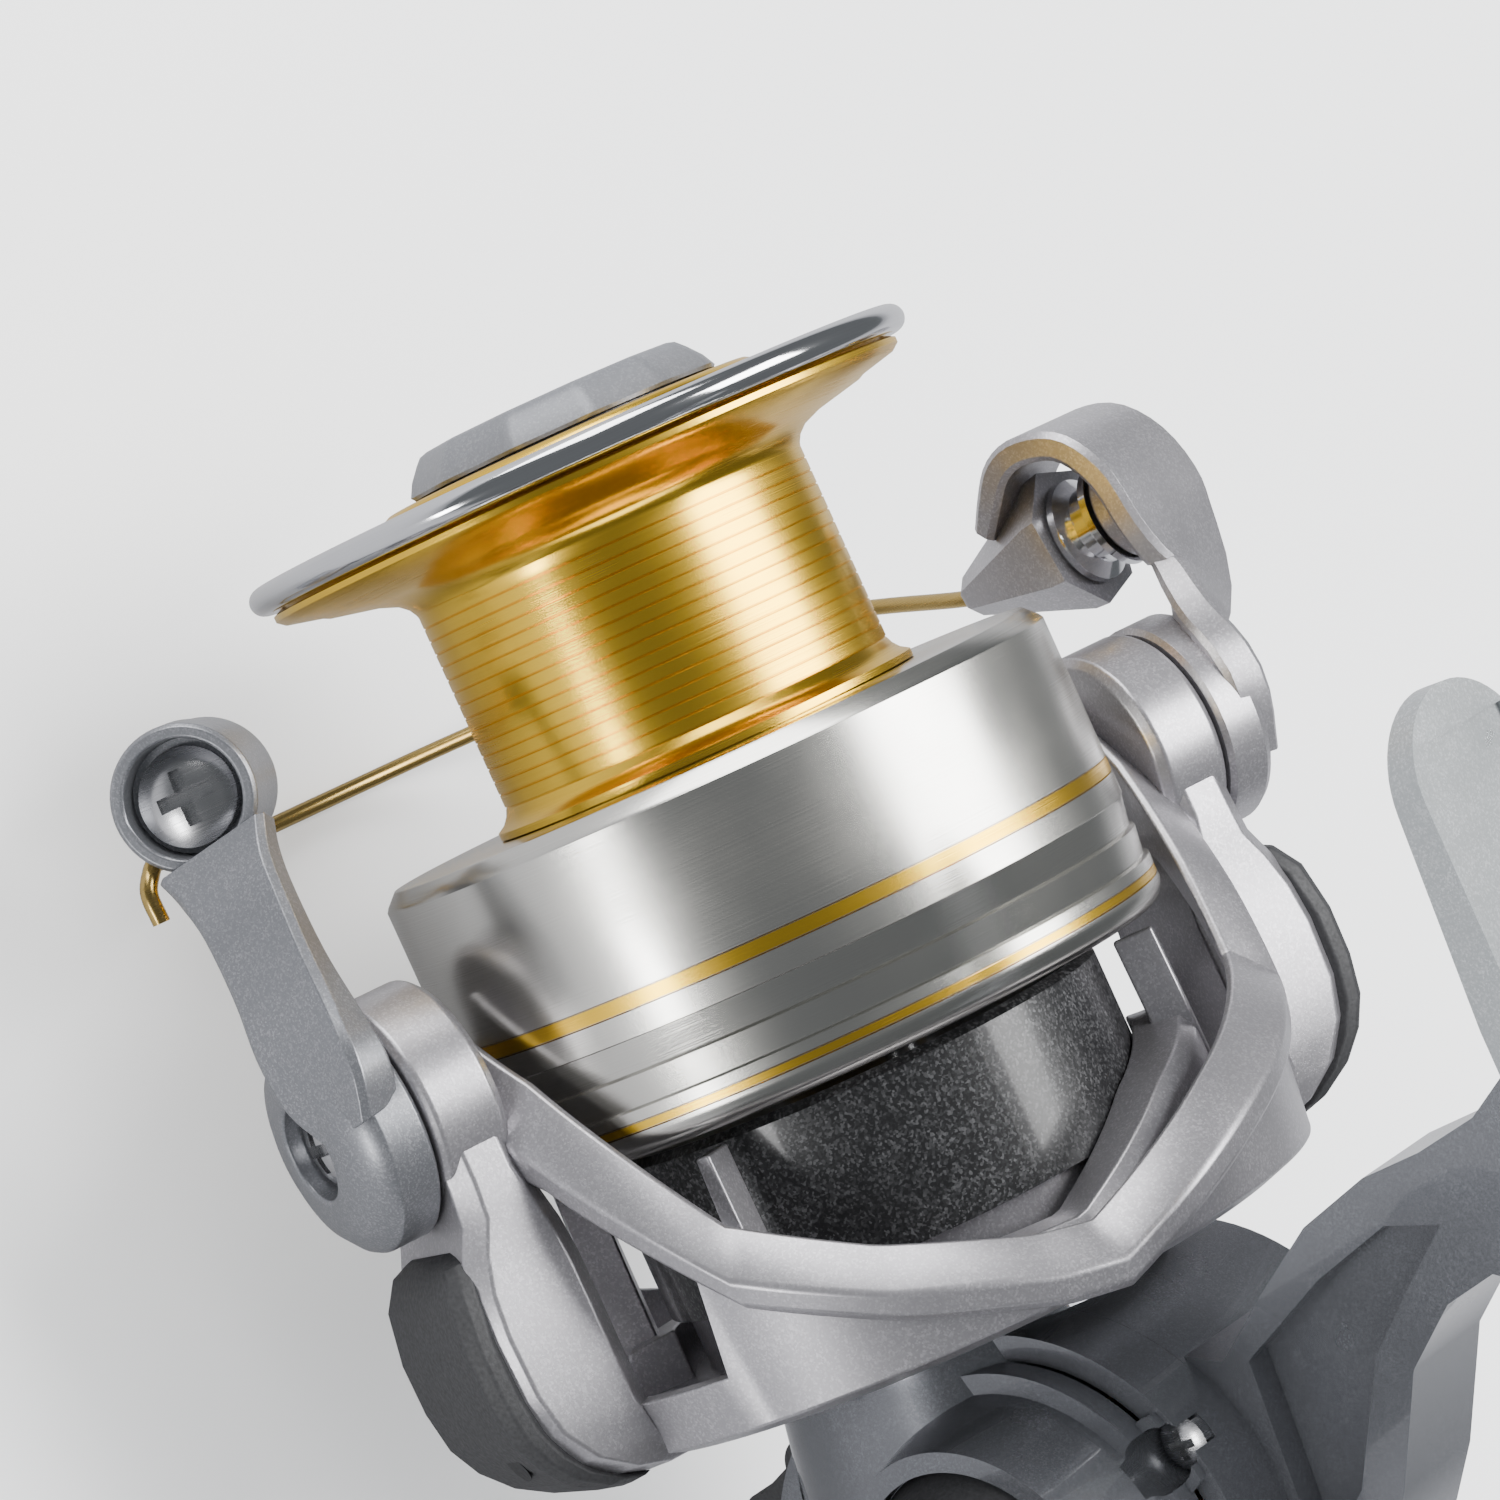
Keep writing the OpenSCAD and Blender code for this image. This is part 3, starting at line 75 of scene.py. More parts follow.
# The spool axis runs along X; stations count back from the front lip
RING_R = 1.35
LIP_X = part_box("lip_ring")[1][0] / MM - RING_R
AXIS_Z = -82.6
ROTOR_REST = math.radians(-19)
LIP_R = 34.0
SKIRT_R = 34.2
ARBOR_R = 19.9
HOOP_R = 36.3
PIVOT_S = 48.0
ARM_FACE = 46.0
# Only edges that bend more than this are rounded, in degrees
BEVEL_FROM = 28


# ---------------------------------------------------------------- geometry

def rotor_to_row(p):
    """Points ahead of the lip, along the left arm and across it, turned to the rotor's rest about the axis."""
    p = np.asarray(p, float)
    c, s = math.cos(ROTOR_REST), math.sin(ROTOR_REST)
    return np.stack([LIP_X + p[..., 0], c * p[..., 1] - s * p[..., 2],
                     AXIS_Z + s * p[..., 1] + c * p[..., 2]], -1)


def axis_point(station, radius, turn):
    """A point from its station behind the lip, its radius and its turn from the left arm towards the top."""
    parts = [np.asarray(v, float) for v in (station, radius, turn)]
    station, radius, turn = np.broadcast_arrays(*parts)
    return rotor_to_row(np.stack([-station, radius * np.cos(turn), radius * np.sin(turn)], -1))


def piece(name, points, faces, sharp=35, bevel=0.0):
    """One mesh from points in millimetres and faces, smooth where edges bend less than the sharp angle."""
    mesh = bpy.data.meshes.new(name)
    mesh.from_pydata((np.asarray(points, float) * MM).tolist(), [], faces)
    mesh.validate()
    return finish_mesh(name, mesh, sharp, bevel)


def finish_mesh(name, mesh, sharp=35, bevel=0.0):
    """Puts a mesh on an object at the origin, its faces outward, with its edge rounding in millimetres."""
    bm = bmesh.new()
    bm.from_mesh(mesh)
    bmesh.ops.remove_doubles(bm, verts=bm.verts, dist=1e-7)
    bmesh.ops.recalc_face_normals(bm, faces=bm.faces)
    bm.to_mesh(mesh)
    bm.free()
    obj = bpy.data.objects.new(name, mesh)
    bpy.context.scene.collection.objects.link(obj)
    mesh.shade_smooth()
    mesh.set_sharp_from_angle(angle=math.radians(sharp))
    if bevel:
        mod = obj.modifiers.new("Edges", "BEVEL")
        mod.width = bevel * MM
        mod.segments = 2
        mod.limit_method = "ANGLE"
        mod.angle_limit = math.radians(BEVEL_FROM)
        mod.harden_normals = True
    return obj


def grid_faces(rows, cols, wrap_rows=False, wrap_cols=False, offset=0):
    """Quads of a grid whose point (i, j) is number i * cols + j."""
    i = np.arange(rows if wrap_rows else rows - 1)
    j = np.arange(cols if wrap_cols else cols - 1)
    i, j = np.meshgrid(i, j, indexing="ij")
    a = i * cols + j
    b = ((i + 1) % rows) * cols + j
    c = ((i + 1) % rows) * cols + (j + 1) % cols
    d = i * cols + (j + 1) % cols
    return (np.stack([a, b, c, d], -1).reshape(-1, 4) + offset).tolist()


class Shells:
    """Several closed shells gathered into the arrays of one mesh."""

    def __init__(self):
        self.points = []
        self.faces = []
        self.count = 0

    def add(self, points, wrap_rows=False, wrap_cols=True, caps=True):
        """A grid of sections (rows) of points (columns), closed round its columns and capped at its ends."""
        points = np.asarray(points, float)
        rows, cols = points.shape[:2]
        faces = grid_faces(rows, cols, wrap_rows, wrap_cols, self.count)
        if caps and not wrap_rows and wrap_cols:
            faces.append((np.arange(cols) + self.count).tolist())
            faces.append((np.arange(cols)[::-1] + self.count + (rows - 1) * cols).tolist())
        self.points.append(points.reshape(-1, 3))
        self.faces.extend(faces)
        self.count += rows * cols
        return self

    def turned(self, profile, steps=180, axis=axis_point):
        """A closed profile of (radius, station) spun a full turn round the spool axis."""
        profile = np.asarray(profile, float)
        turn = np.linspace(0, 2 * math.pi, steps, endpoint=False)
        pts = axis(profile[None, :, 1], profile[None, :, 0], turn[:, None])
        return self.add(pts, wrap_rows=True)

    def make(self, name, **finish):
        return piece(name, np.concatenate(self.points), self.faces, **finish)


def along(table, x):
    """Straight-line interpolation in a list of (position, value) pairs."""
    table = np.asarray(table, float)
    return np.interp(x, table[:, 0], table[:, 1])


def smooth_path(points, per_span=10):
    """A Catmull-Rom curve: each span is a cubic whose end slopes are half the chord of its neighbours."""
    p = np.asarray(points, float)
    p = np.vstack([2 * p[0] - p[1], p, 2 * p[-1] - p[-2]])
    t = np.linspace(0, 1, per_span, endpoint=False)[:, None]
    spans = [0.5 * (2 * b + (c - a) * t + (2 * a - 5 * b + 4 * c - d) * t ** 2
                    + (3 * b - a - 3 * c + d) * t ** 3)
             for a, b, c, d in zip(p[:-3], p[1:-2], p[2:-1], p[3:])]
    return np.vstack(spans + [p[-2][None]])


def tube_grid(path, radius, sides=20):
    """A circle carried along a path: each section's zero direction is the last one's, laid in its own plane."""
    path = np.asarray(path, float)
    tangent = np.gradient(path, axis=0)
    tangent /= np.linalg.norm(tangent, axis=1)[:, None]
    radius = np.broadcast_to(np.asarray(radius, float), (len(path),))
    side = np.cross(tangent[0], [0.31, 0.87, 0.38])
    zero = []
    for t in tangent:
        side = side - t * (side @ t)
        side = side / np.linalg.norm(side)
        zero.append(side)
    u = np.array(zero)
    v = np.cross(tangent, u)
    a = np.linspace(0, 2 * math.pi, sides, endpoint=False)
    ring = u[:, None] * np.cos(a)[None, :, None] + v[:, None] * np.sin(a)[None, :, None]
    return path[:, None] + ring * radius[:, None, None]


def chamfered(half_u, half_v, cut):
    """A rectangle with cut corners as eight (u, v) points, anticlockwise."""
    return np.array([
        [half_u, -half_v + cut], [half_u, half_v - cut],
        [half_u - cut, half_v], [-half_u + cut, half_v],
        [-half_u, half_v - cut], [-half_u, -half_v + cut],
        [-half_u + cut, -half_v], [half_u - cut, -half_v],
    ])


def copied(node_name, name, sharp=35, bevel=0.0):
    """A merged copy of a CAD node whose flat faces are joined, so that its edges can be rounded."""
    mesh = NODES[node_name].data.copy()
    mesh.materials.clear()
    bm = bmesh.new()
    bm.from_mesh(mesh)
    bmesh.ops.remove_doubles(bm, verts=bm.verts, dist=2e-6)
    bmesh.ops.dissolve_degenerate(bm, edges=bm.edges, dist=1e-6)
    bmesh.ops.dissolve_limit(bm, angle_limit=math.radians(0.5), verts=bm.verts, edges=bm.edges)
    bm.to_mesh(mesh)
    bm.free()
    for extra in list(mesh.attributes):
        if extra.name.startswith("custom_normal"):
            mesh.attributes.remove(extra)
    return finish_mesh(name, mesh, sharp, bevel)


# ---------------------------------------------------------------- shader groups

def node(tree, kind, at=(0, 0), **props):
    n = tree.nodes.new(kind)
    n.location = at
    for key, value in props.items():
        setattr(n, key, value)
    return n


def new_group(name, inputs, outputs):
    tree = bpy.data.node_groups.new(name, "ShaderNodeTree")
    for label, kind, default in inputs:
        s = tree.interface.new_socket(name=label, in_out="INPUT", socket_type=kind)
        if default is not None:
            s.default_value = default
    for label, kind in outputs:
        tree.interface.new_socket(name=label, in_out="OUTPUT", socket_type=kind)
    return tree, node(tree, "NodeGroupInput", (-900, 0)), node(tree, "NodeGroupOutput", (700, 0))


def maths(tree, operation, a, b=None, at=(0, 0)):
    n = node(tree, "ShaderNodeMath", at, operation=operation)
    for socket, value in zip(n.inputs, (a, b)):
        if value is None:
            continue
        if isinstance(value, (int, float)):
            socket.default_value = value
        else:
            tree.links.new(value, socket)
    return n.outputs[0]


def pattern_group(name, colour_a, colour_b, per_metre, smooth, rough):
    """A group that holds the sockets which every pattern of this file has."""
    return new_group(
        name,
        [("Colour A", "NodeSocketColor", colour_a), ("Colour B", "NodeSocketColor", colour_b),
         ("Marks per metre", "NodeSocketFloat", per_metre),
         ("Smooth roughness", "NodeSocketFloat", smooth), ("Rough roughness", "NodeSocketFloat", rough)],
        [("Colour", "NodeSocketColor"), ("Roughness", "NodeSocketFloat"), ("Height", "NodeSocketFloat")])


def mixed(tree, kind, amount, first, second, out, at):
    """Mixes two sockets by an amount and sends the result to an output."""
    mix = node(tree, "ShaderNodeMix", at, data_type=kind)
    low = 6 if kind == "RGBA" else 2
    tree.links.new(amount, mix.inputs[0])
    tree.links.new(first, mix.inputs[low])
    tree.links.new(second, mix.inputs[low + 1])
    tree.links.new(mix.outputs[2 if kind == "RGBA" else 0], out)


def turning_group():
    """Fine lathe lines: 1-D noise along the spool axis, with a slow second noise that varies their strength."""
    tree, gin, gout = pattern_group("lathe_lines", (1, 1, 1, 1), (0.8, 0.8, 0.8, 1), 6000.0, 0.2, 0.35)
    co = node(tree, "ShaderNodeTexCoord", (-900, 300))
    sep = node(tree, "ShaderNodeSeparateXYZ", (-700, 300))
    tree.links.new(co.outputs["Object"], sep.inputs[0])
    w = maths(tree, "MULTIPLY", sep.outputs[0], gin.outputs["Marks per metre"], (-500, 300))
    fine = node(tree, "ShaderNodeTexNoise", (-300, 300), noise_dimensions="1D")
    fine.inputs["Scale"].default_value = 1.0
    fine.inputs["Detail"].default_value = 3.0
    tree.links.new(w, fine.inputs["W"])
    cloud = node(tree, "ShaderNodeTexNoise", (-300, 0))
    cloud.inputs["Scale"].default_value = 90.0
    tree.links.new(co.outputs["Object"], cloud.inputs["Vector"])
    both = maths(tree, "MULTIPLY", fine.outputs["Fac"], cloud.outputs["Fac"], (-100, 100))
    both = maths(tree, "MULTIPLY", both, 2.0, (50, 100))
    mixed(tree, "RGBA", both, gin.outputs["Colour A"], gin.outputs["Colour B"],
          gout.inputs["Colour"], (300, 200))
    mixed(tree, "FLOAT", both, gin.outputs["Smooth roughness"], gin.outputs["Rough roughness"],
          gout.inputs["Roughness"], (300, 0))
    tree.links.new(fine.outputs["Fac"], gout.inputs["Height"])
    return tree


def flake_group():
    """Metallic paint: voronoi flakes tint the base a little, and a slow noise varies colour and roughness."""
    tree, gin, gout = pattern_group("paint_flakes", (0.4, 0.4, 0.42, 1), (0.6, 0.6, 0.62, 1), 5000.0, 0.3, 0.42)
    co = node(tree, "ShaderNodeTexCoord", (-900, 300))
    cells = node(tree, "ShaderNodeTexVoronoi", (-500, 300))
    tree.links.new(co.outputs["Object"], cells.inputs["Vector"])
    tree.links.new(gin.outputs["Marks per metre"], cells.inputs["Scale"])
    grey = node(tree, "ShaderNodeSeparateColor", (-300, 300))
    tree.links.new(cells.outputs["Color"], grey.inputs[0])
    sparse = maths(tree, "POWER", grey.outputs[0], 3.0, (-100, 300))
    cloud = node(tree, "ShaderNodeTexNoise", (-500, 0))
    cloud.inputs["Scale"].default_value = 140.0
    cloud.inputs["Detail"].default_value = 4.0
    tree.links.new(co.outputs["Object"], cloud.inputs["Vector"])
    amount = maths(tree, "MULTIPLY", sparse, cloud.outputs["Fac"], (50, 300))
    mixed(tree, "RGBA", amount, gin.outputs["Colour A"], gin.outputs["Colour B"],
          gout.inputs["Colour"], (300, 200))
    mixed(tree, "FLOAT", cloud.outputs["Fac"], gin.outputs["Smooth roughness"], gin.outputs["Rough roughness"],
          gout.inputs["Roughness"], (300, 0))
    tree.links.new(grey.outputs[0], gout.inputs["Height"])
    return tree


def grain_pit_shade_group():
    """Moulded grain: a fine noise raised to pits, giving a random tone that is also painted darker in its
    hollows as painted shade.
    """
    tree, gin, gout = pattern_group("moulded_grain_pit_shade", (0.03, 0.03, 0.03, 1), (0.01, 0.01, 0.01, 1), 2500.0,
                                    0.5, 0.7)
    co = node(tree, "ShaderNodeTexCoord", (-900, 300))
    grain = node(tree, "ShaderNodeTexNoise", (-500, 300))
    grain.inputs["Detail"].default_value = 2.0
    tree.links.new(co.outputs["Object"], grain.inputs["Vector"])
    tree.links.new(gin.outputs["Marks per metre"], grain.inputs["Scale"])
    # Painted shade: low noise, which is the pits, takes the darker Colour B
    mixed(tree, "RGBA", grain.outputs["Fac"], gin.outputs["Colour B"], gin.outputs["Colour A"],
          gout.inputs["Colour"], (300, 200))
    mixed(tree, "FLOAT", grain.outputs["Fac"], gin.outputs["Rough roughness"], gin.outputs["Smooth roughness"],
          gout.inputs["Roughness"], (300, 0))
    tree.links.new(grain.outputs["Fac"], gout.inputs["Height"])
    return tree


GROUPS = {}
FINISHES = {}


def finish(name, group, colours, per_metre, rough, metallic, bump=0.0, coat=0.0, coat_rough=0.1, aniso=0.0):
    """A material whose colour, roughness and bump (in millimetres) come from a shader group."""
    if name in FINISHES:
        return FINISHES[name]
    mat = bpy.data.materials.new(name)
    mat.use_nodes = True
    tree = mat.node_tree
    shader = tree.nodes["Principled BSDF"]
    g = node(tree, "ShaderNodeGroup", (-400, 200))
    g.node_tree = GROUPS[group]
    g.inputs[0].default_value = (*colours[0], 1)
    g.inputs[1].default_value = (*colours[1], 1)
    g.inputs[2].default_value = per_metre
    g.inputs[3].default_value = rough[0]
    g.inputs[4].default_value = rough[1]
    tree.links.new(g.outputs["Colour"], shader.inputs["Base Color"])
    tree.links.new(g.outputs["Roughness"], shader.inputs["Roughness"])
    shader.inputs["Metallic"].default_value = metallic
    shader.inputs["Coat Weight"].default_value = coat
    shader.inputs["Coat Roughness"].default_value = coat_rough
    shader.inputs["Anisotropic"].default_value = aniso
    if aniso:
        tangent = node(tree, "ShaderNodeTangent", (-400, -200), direction_type="RADIAL", axis="X")
        tree.links.new(tangent.outputs[0], shader.inputs["Tangent"])
    if bump:
        b = node(tree, "ShaderNodeBump", (-200, -100))
        b.inputs["Strength"].default_value = 1.0
        b.inputs["Distance"].default_value = bump * MM
        tree.links.new(g.outputs["Height"], b.inputs["Height"])
        tree.links.new(b.outputs[0], shader.inputs["Normal"])
    FINISHES[name] = mat
    return mat


def make_finishes(look):
    """Every finish of the reel, from the panel's colours."""
    GROUPS["lines"] = turning_group()
    GROUPS["flakes"] = flake_group()
    GROUPS["grain"] = grain_pit_shade_group()
    gold = tuple(look.gold)
    dull_gold = (gold[0] * 0.8, gold[1] * 0.72, gold[2] * 0.6)
    paint = tuple(look.rotor_paint)
    dark = tuple(look.body_paint)

    def lighter(colour, share):
        return tuple(min(1, c * share) for c in colour)

    # Turned metals
    finish("gold_anodised", "lines", (gold, dull_gold), 9000, (0.16, 0.3), 1, 0.004, aniso=0.6)
    finish("turned_aluminium", "lines", ((0.72, 0.71, 0.67), (0.55, 0.54, 0.50)), 9000, (0.14, 0.26), 1, 0.003,
           aniso=0.75)
    finish("chrome_ring", "lines", ((0.80, 0.81, 0.82), (0.7, 0.7, 0.72)), 3000, (0.08, 0.14), 1)
    finish("gold_wire", "lines", ((0.62, 0.44, 0.15), (0.45, 0.31, 0.1)), 2500, (0.2, 0.34), 1)
    finish("steel", "lines", ((0.62, 0.62, 0.63), (0.5, 0.5, 0.51)), 5000, (0.18, 0.32), 1)
    finish("brass", "lines", ((0.72, 0.53, 0.24), (0.6, 0.42, 0.16)), 5000, (0.22, 0.36), 1)
    # Paints with metal flake
    finish("rotor_paint", "flakes", (paint, lighter(paint, 1.7)), 5200, (0.3, 0.4), 0.8, 0.004,
           coat=0.25, coat_rough=0.25)
    finish("graphite_paint", "flakes", (dark, lighter(dark, 1.8)), 7000, (0.22, 0.3), 0.75,
           coat=1.0, coat_rough=0.04)
    finish("foot_silver", "flakes", ((0.40, 0.42, 0.43), (0.7, 0.72, 0.73)), 6000, (0.24, 0.34), 0.8, 0.002,
           coat=0.6, coat_rough=0.08)
    finish("lever_paint", "flakes", ((0.17, 0.175, 0.19), (0.34, 0.34, 0.36)), 6500, (0.3, 0.4), 0.7, 0.004,
           coat=0.3, coat_rough=0.2)
    finish("knob_plastic", "flakes", ((0.15, 0.155, 0.17), (0.24, 0.245, 0.26)), 6000, (0.32, 0.44), 0.35,
           0.003)
    finish("black_speckle", "flakes", ((0.012, 0.012, 0.013), (0.16, 0.16, 0.165)), 4200, (0.28, 0.42), 0.15,
           0.003, coat=0.3)
    # Plastic, rubber, felt and castings
    # The second colour of each grain finish is painted shade in the grain's hollows
    finish("black_plastic", "grain", ((0.035, 0.035, 0.038), (0.012, 0.012, 0.013)), 2600, (0.5, 0.68), 0, 0.03)
    finish("grip_rubber", "grain", ((0.045, 0.045, 0.045), (0.02, 0.02, 0.02)), 1800, (0.7, 0.85), 0, 0.05)
    finish("felt", "grain", ((0.12, 0.11, 0.10), (0.05, 0.045, 0.04)), 3000, (0.85, 0.95), 0, 0.1)
    finish("die_cast", "grain", ((0.56, 0.56, 0.56), (0.46, 0.46, 0.46)), 1500, (0.35, 0.5), 1, 0.02)
    # Near-black finish of the panel slots: painted shade standing in for a slot's shaded depth
    finish("painted_slot_shade", "grain", ((0.012, 0.012, 0.013), (0.006, 0.006, 0.006)), 2500, (0.4, 0.6), 0, 0.01)


def dress(obj, finish_name, body, slot_name, *replaced):
    """Gives a piece its finish and its body, and hides the CAD nodes that it stands for. Its slot name is not
    used.
    """
    obj.data.materials.clear()
    obj.data.materials.append(FINISHES[finish_name])
    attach(obj, body)
    if replaced:
        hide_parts(*replaced)
    return obj


def repaint(node_name, finish_name):
    """Puts a finish on a CAD node that keeps its shape."""
    obj = NODES[node_name]
    if not obj.material_slots:
        obj.data.materials.append(FINISHES[finish_name])
    for s in obj.material_slots:
        s.material = FINISHES[finish_name]


# ---------------------------------------------------------------- settings

class ReelLook(bpy.types.PropertyGroup):
    """Sizes and colours of the reel's visible pieces."""

    gold: bpy.props.FloatVectorProperty(
        name="Gold", description="Colour of the anodised spool", subtype="COLOR", size=3,
        default=(1.0, 0.66, 0.07), min=0, max=1)
    rotor_paint: bpy.props.FloatVectorProperty(
        name="Rotor paint", description="Colour of the rotor and its arms", subtype="COLOR", size=3,
        default=(0.36, 0.35, 0.37), min=0, max=1)
    body_paint: bpy.props.FloatVectorProperty(
        name="Body paint", description="Colour of the gear case and stem", subtype="COLOR", size=3,
        default=(0.15, 0.155, 0.17), min=0, max=1)
    hoop_thickness: bpy.props.FloatProperty(
        name="Hoop thickness", description="Thickness of the rotor's hoop", default=4.4 * MM, min=3 * MM,
        max=5 * MM, unit="LENGTH", precision=4)
    wire_diameter: bpy.props.FloatProperty(
        name="Wire diameter", description="Diameter of the bail wire", default=1.7 * MM, min=1.2 * MM,
        max=2.2 * MM, unit="LENGTH", precision=4)
    arbor_grooves: bpy.props.IntProperty(
        name="Arbor grooves", description="Number of fine grooves turned in the arbor", default=15, min=6,
        max=24)


# ---------------------------------------------------------------- pieces

class REEL_OT_finishes(bpy.types.Operator):
    """Make the finishes and put them on the CAD parts that keep their shape"""
    bl_idname = "reel.finishes"
    bl_label = "Finishes"

    def execute(self, context):
        make_finishes(context.scene.reel_look)
        slots = {p["node"]: p["material_slot"] for p in frame["record"]["subparts"]}
        for name in NODES:
            repaint(name, slots[name])
        return {"FINISHED"}


# The view from ahead of the crank's side: place in metres, turns in degrees, lens and sensor in millimetres
VIEW_AT = (0.074445, 0.34924, 0.26664)
VIEW_TURN = (21.1304, -41.2308, -123.2777)
VIEW_LENS = 124.54
VIEW_SENSOR = 36

# The floor's half width and its gap under the reel, and the point that the lamps face, in metres
FLOOR_HALF = 6.0
FLOOR_GAP = 0.0005
LAMP_AIM = np.array([0.03, 0.0, -0.07])
LAMPS = (
    # name, place, width, height, power in watts
    ("overhead", (0.12, -0.30, 0.80), 0.55, 0.6, 15),
    ("front", (0.80, 0.10, 0.15), 0.5, 0.5, 6),
    ("side", (-0.10, 0.85, -0.10), 0.30, 0.16, 3.0),
)


def glossy_switch(tree, seen, mirrored, out):
    """Shows one shader directly and a dimmer one to glossy rays, so that bright metal keeps its contrast."""
    path = node(tree, "ShaderNodeLightPath")
    mix = node(tree, "ShaderNodeMixShader")
    tree.links.new(path.outputs["Is Glossy Ray"], mix.inputs[0])
    tree.links.new(seen.outputs[0], mix.inputs[1])
    tree.links.new(mirrored.outputs[0], mix.inputs[2])
    tree.links.new(mix.outputs[0], out)


class REEL_OT_stage(bpy.types.Operator):
    """Make the camera, the pale floor and the soft studio lights"""
    bl_idname = "reel.stage"
    bl_label = "Stage"

    def execute(self, context):
        scene = context.scene
        data = bpy.data.cameras.new("view")
        data.lens = VIEW_LENS
        data.sensor_width = VIEW_SENSOR
        data.clip_end = 20
        cam = bpy.data.objects.new("view", data)
        cam.location = VIEW_AT
        cam.rotation_euler = tuple(math.radians(a) for a in VIEW_TURN)
        scene.collection.objects.link(cam)
        scene.camera = cam

        low = CAD_BOX[0][2] - FLOOR_GAP
        mesh = bpy.data.meshes.new("floor")
        corners = ((-1, -1), (1, -1), (1, 1), (-1, 1))
        mesh.from_pydata([(x * FLOOR_HALF, y * FLOOR_HALF, low) for x, y in corners], [], [(0, 1, 2, 3)])
        floor = bpy.data.objects.new("floor", mesh)
        scene.collection.objects.link(floor)
        mat = bpy.data.materials.new("floor_white")
        mat.use_nodes = True
        tree = mat.node_tree
        shader = tree.nodes["Principled BSDF"]
        shader.inputs["Base Color"].default_value = (0.93, 0.93, 0.93, 1)
        shader.inputs["Roughness"].default_value = 0.9
        shader.inputs["Specular IOR Level"].default_value = 0.1
        dull = node(tree, "ShaderNodeBsdfDiffuse")
        dull.inputs[0].default_value = (0.28, 0.28, 0.29, 1)
        glossy_switch(tree, shader, dull, tree.nodes["Material Output"].inputs[0])
        mesh.materials.append(mat)

        world = bpy.data.worlds.new("studio")
        world.use_nodes = True
        tree = world.node_tree
        sky = tree.nodes["Background"]
        sky.inputs[0].default_value = (0.96, 0.98, 1.0, 1)
        sky.inputs[1].default_value = 1.7
        dim = node(tree, "ShaderNodeBackground")
        dim.inputs[0].default_value = (0.9, 0.95, 1.0, 1)
        dim.inputs[1].default_value = 0.16
        glossy_switch(tree, sky, dim, tree.nodes["World Output"].inputs[0])
        scene.world = world
        for name, at, wide, tall, power in LAMPS:
            lamp = bpy.data.lights.new(name, "AREA")
            lamp.shape = "RECTANGLE"
            lamp.size = wide
            lamp.size_y = tall
            lamp.energy = power
            obj = bpy.data.objects.new(name, lamp)
            obj.location = at
            obj.rotation_euler = Vector(LAMP_AIM - np.array(at)).to_track_quat("-Z", "Y").to_euler()
            scene.collection.objects.link(obj)
        return {"FINISHED"}


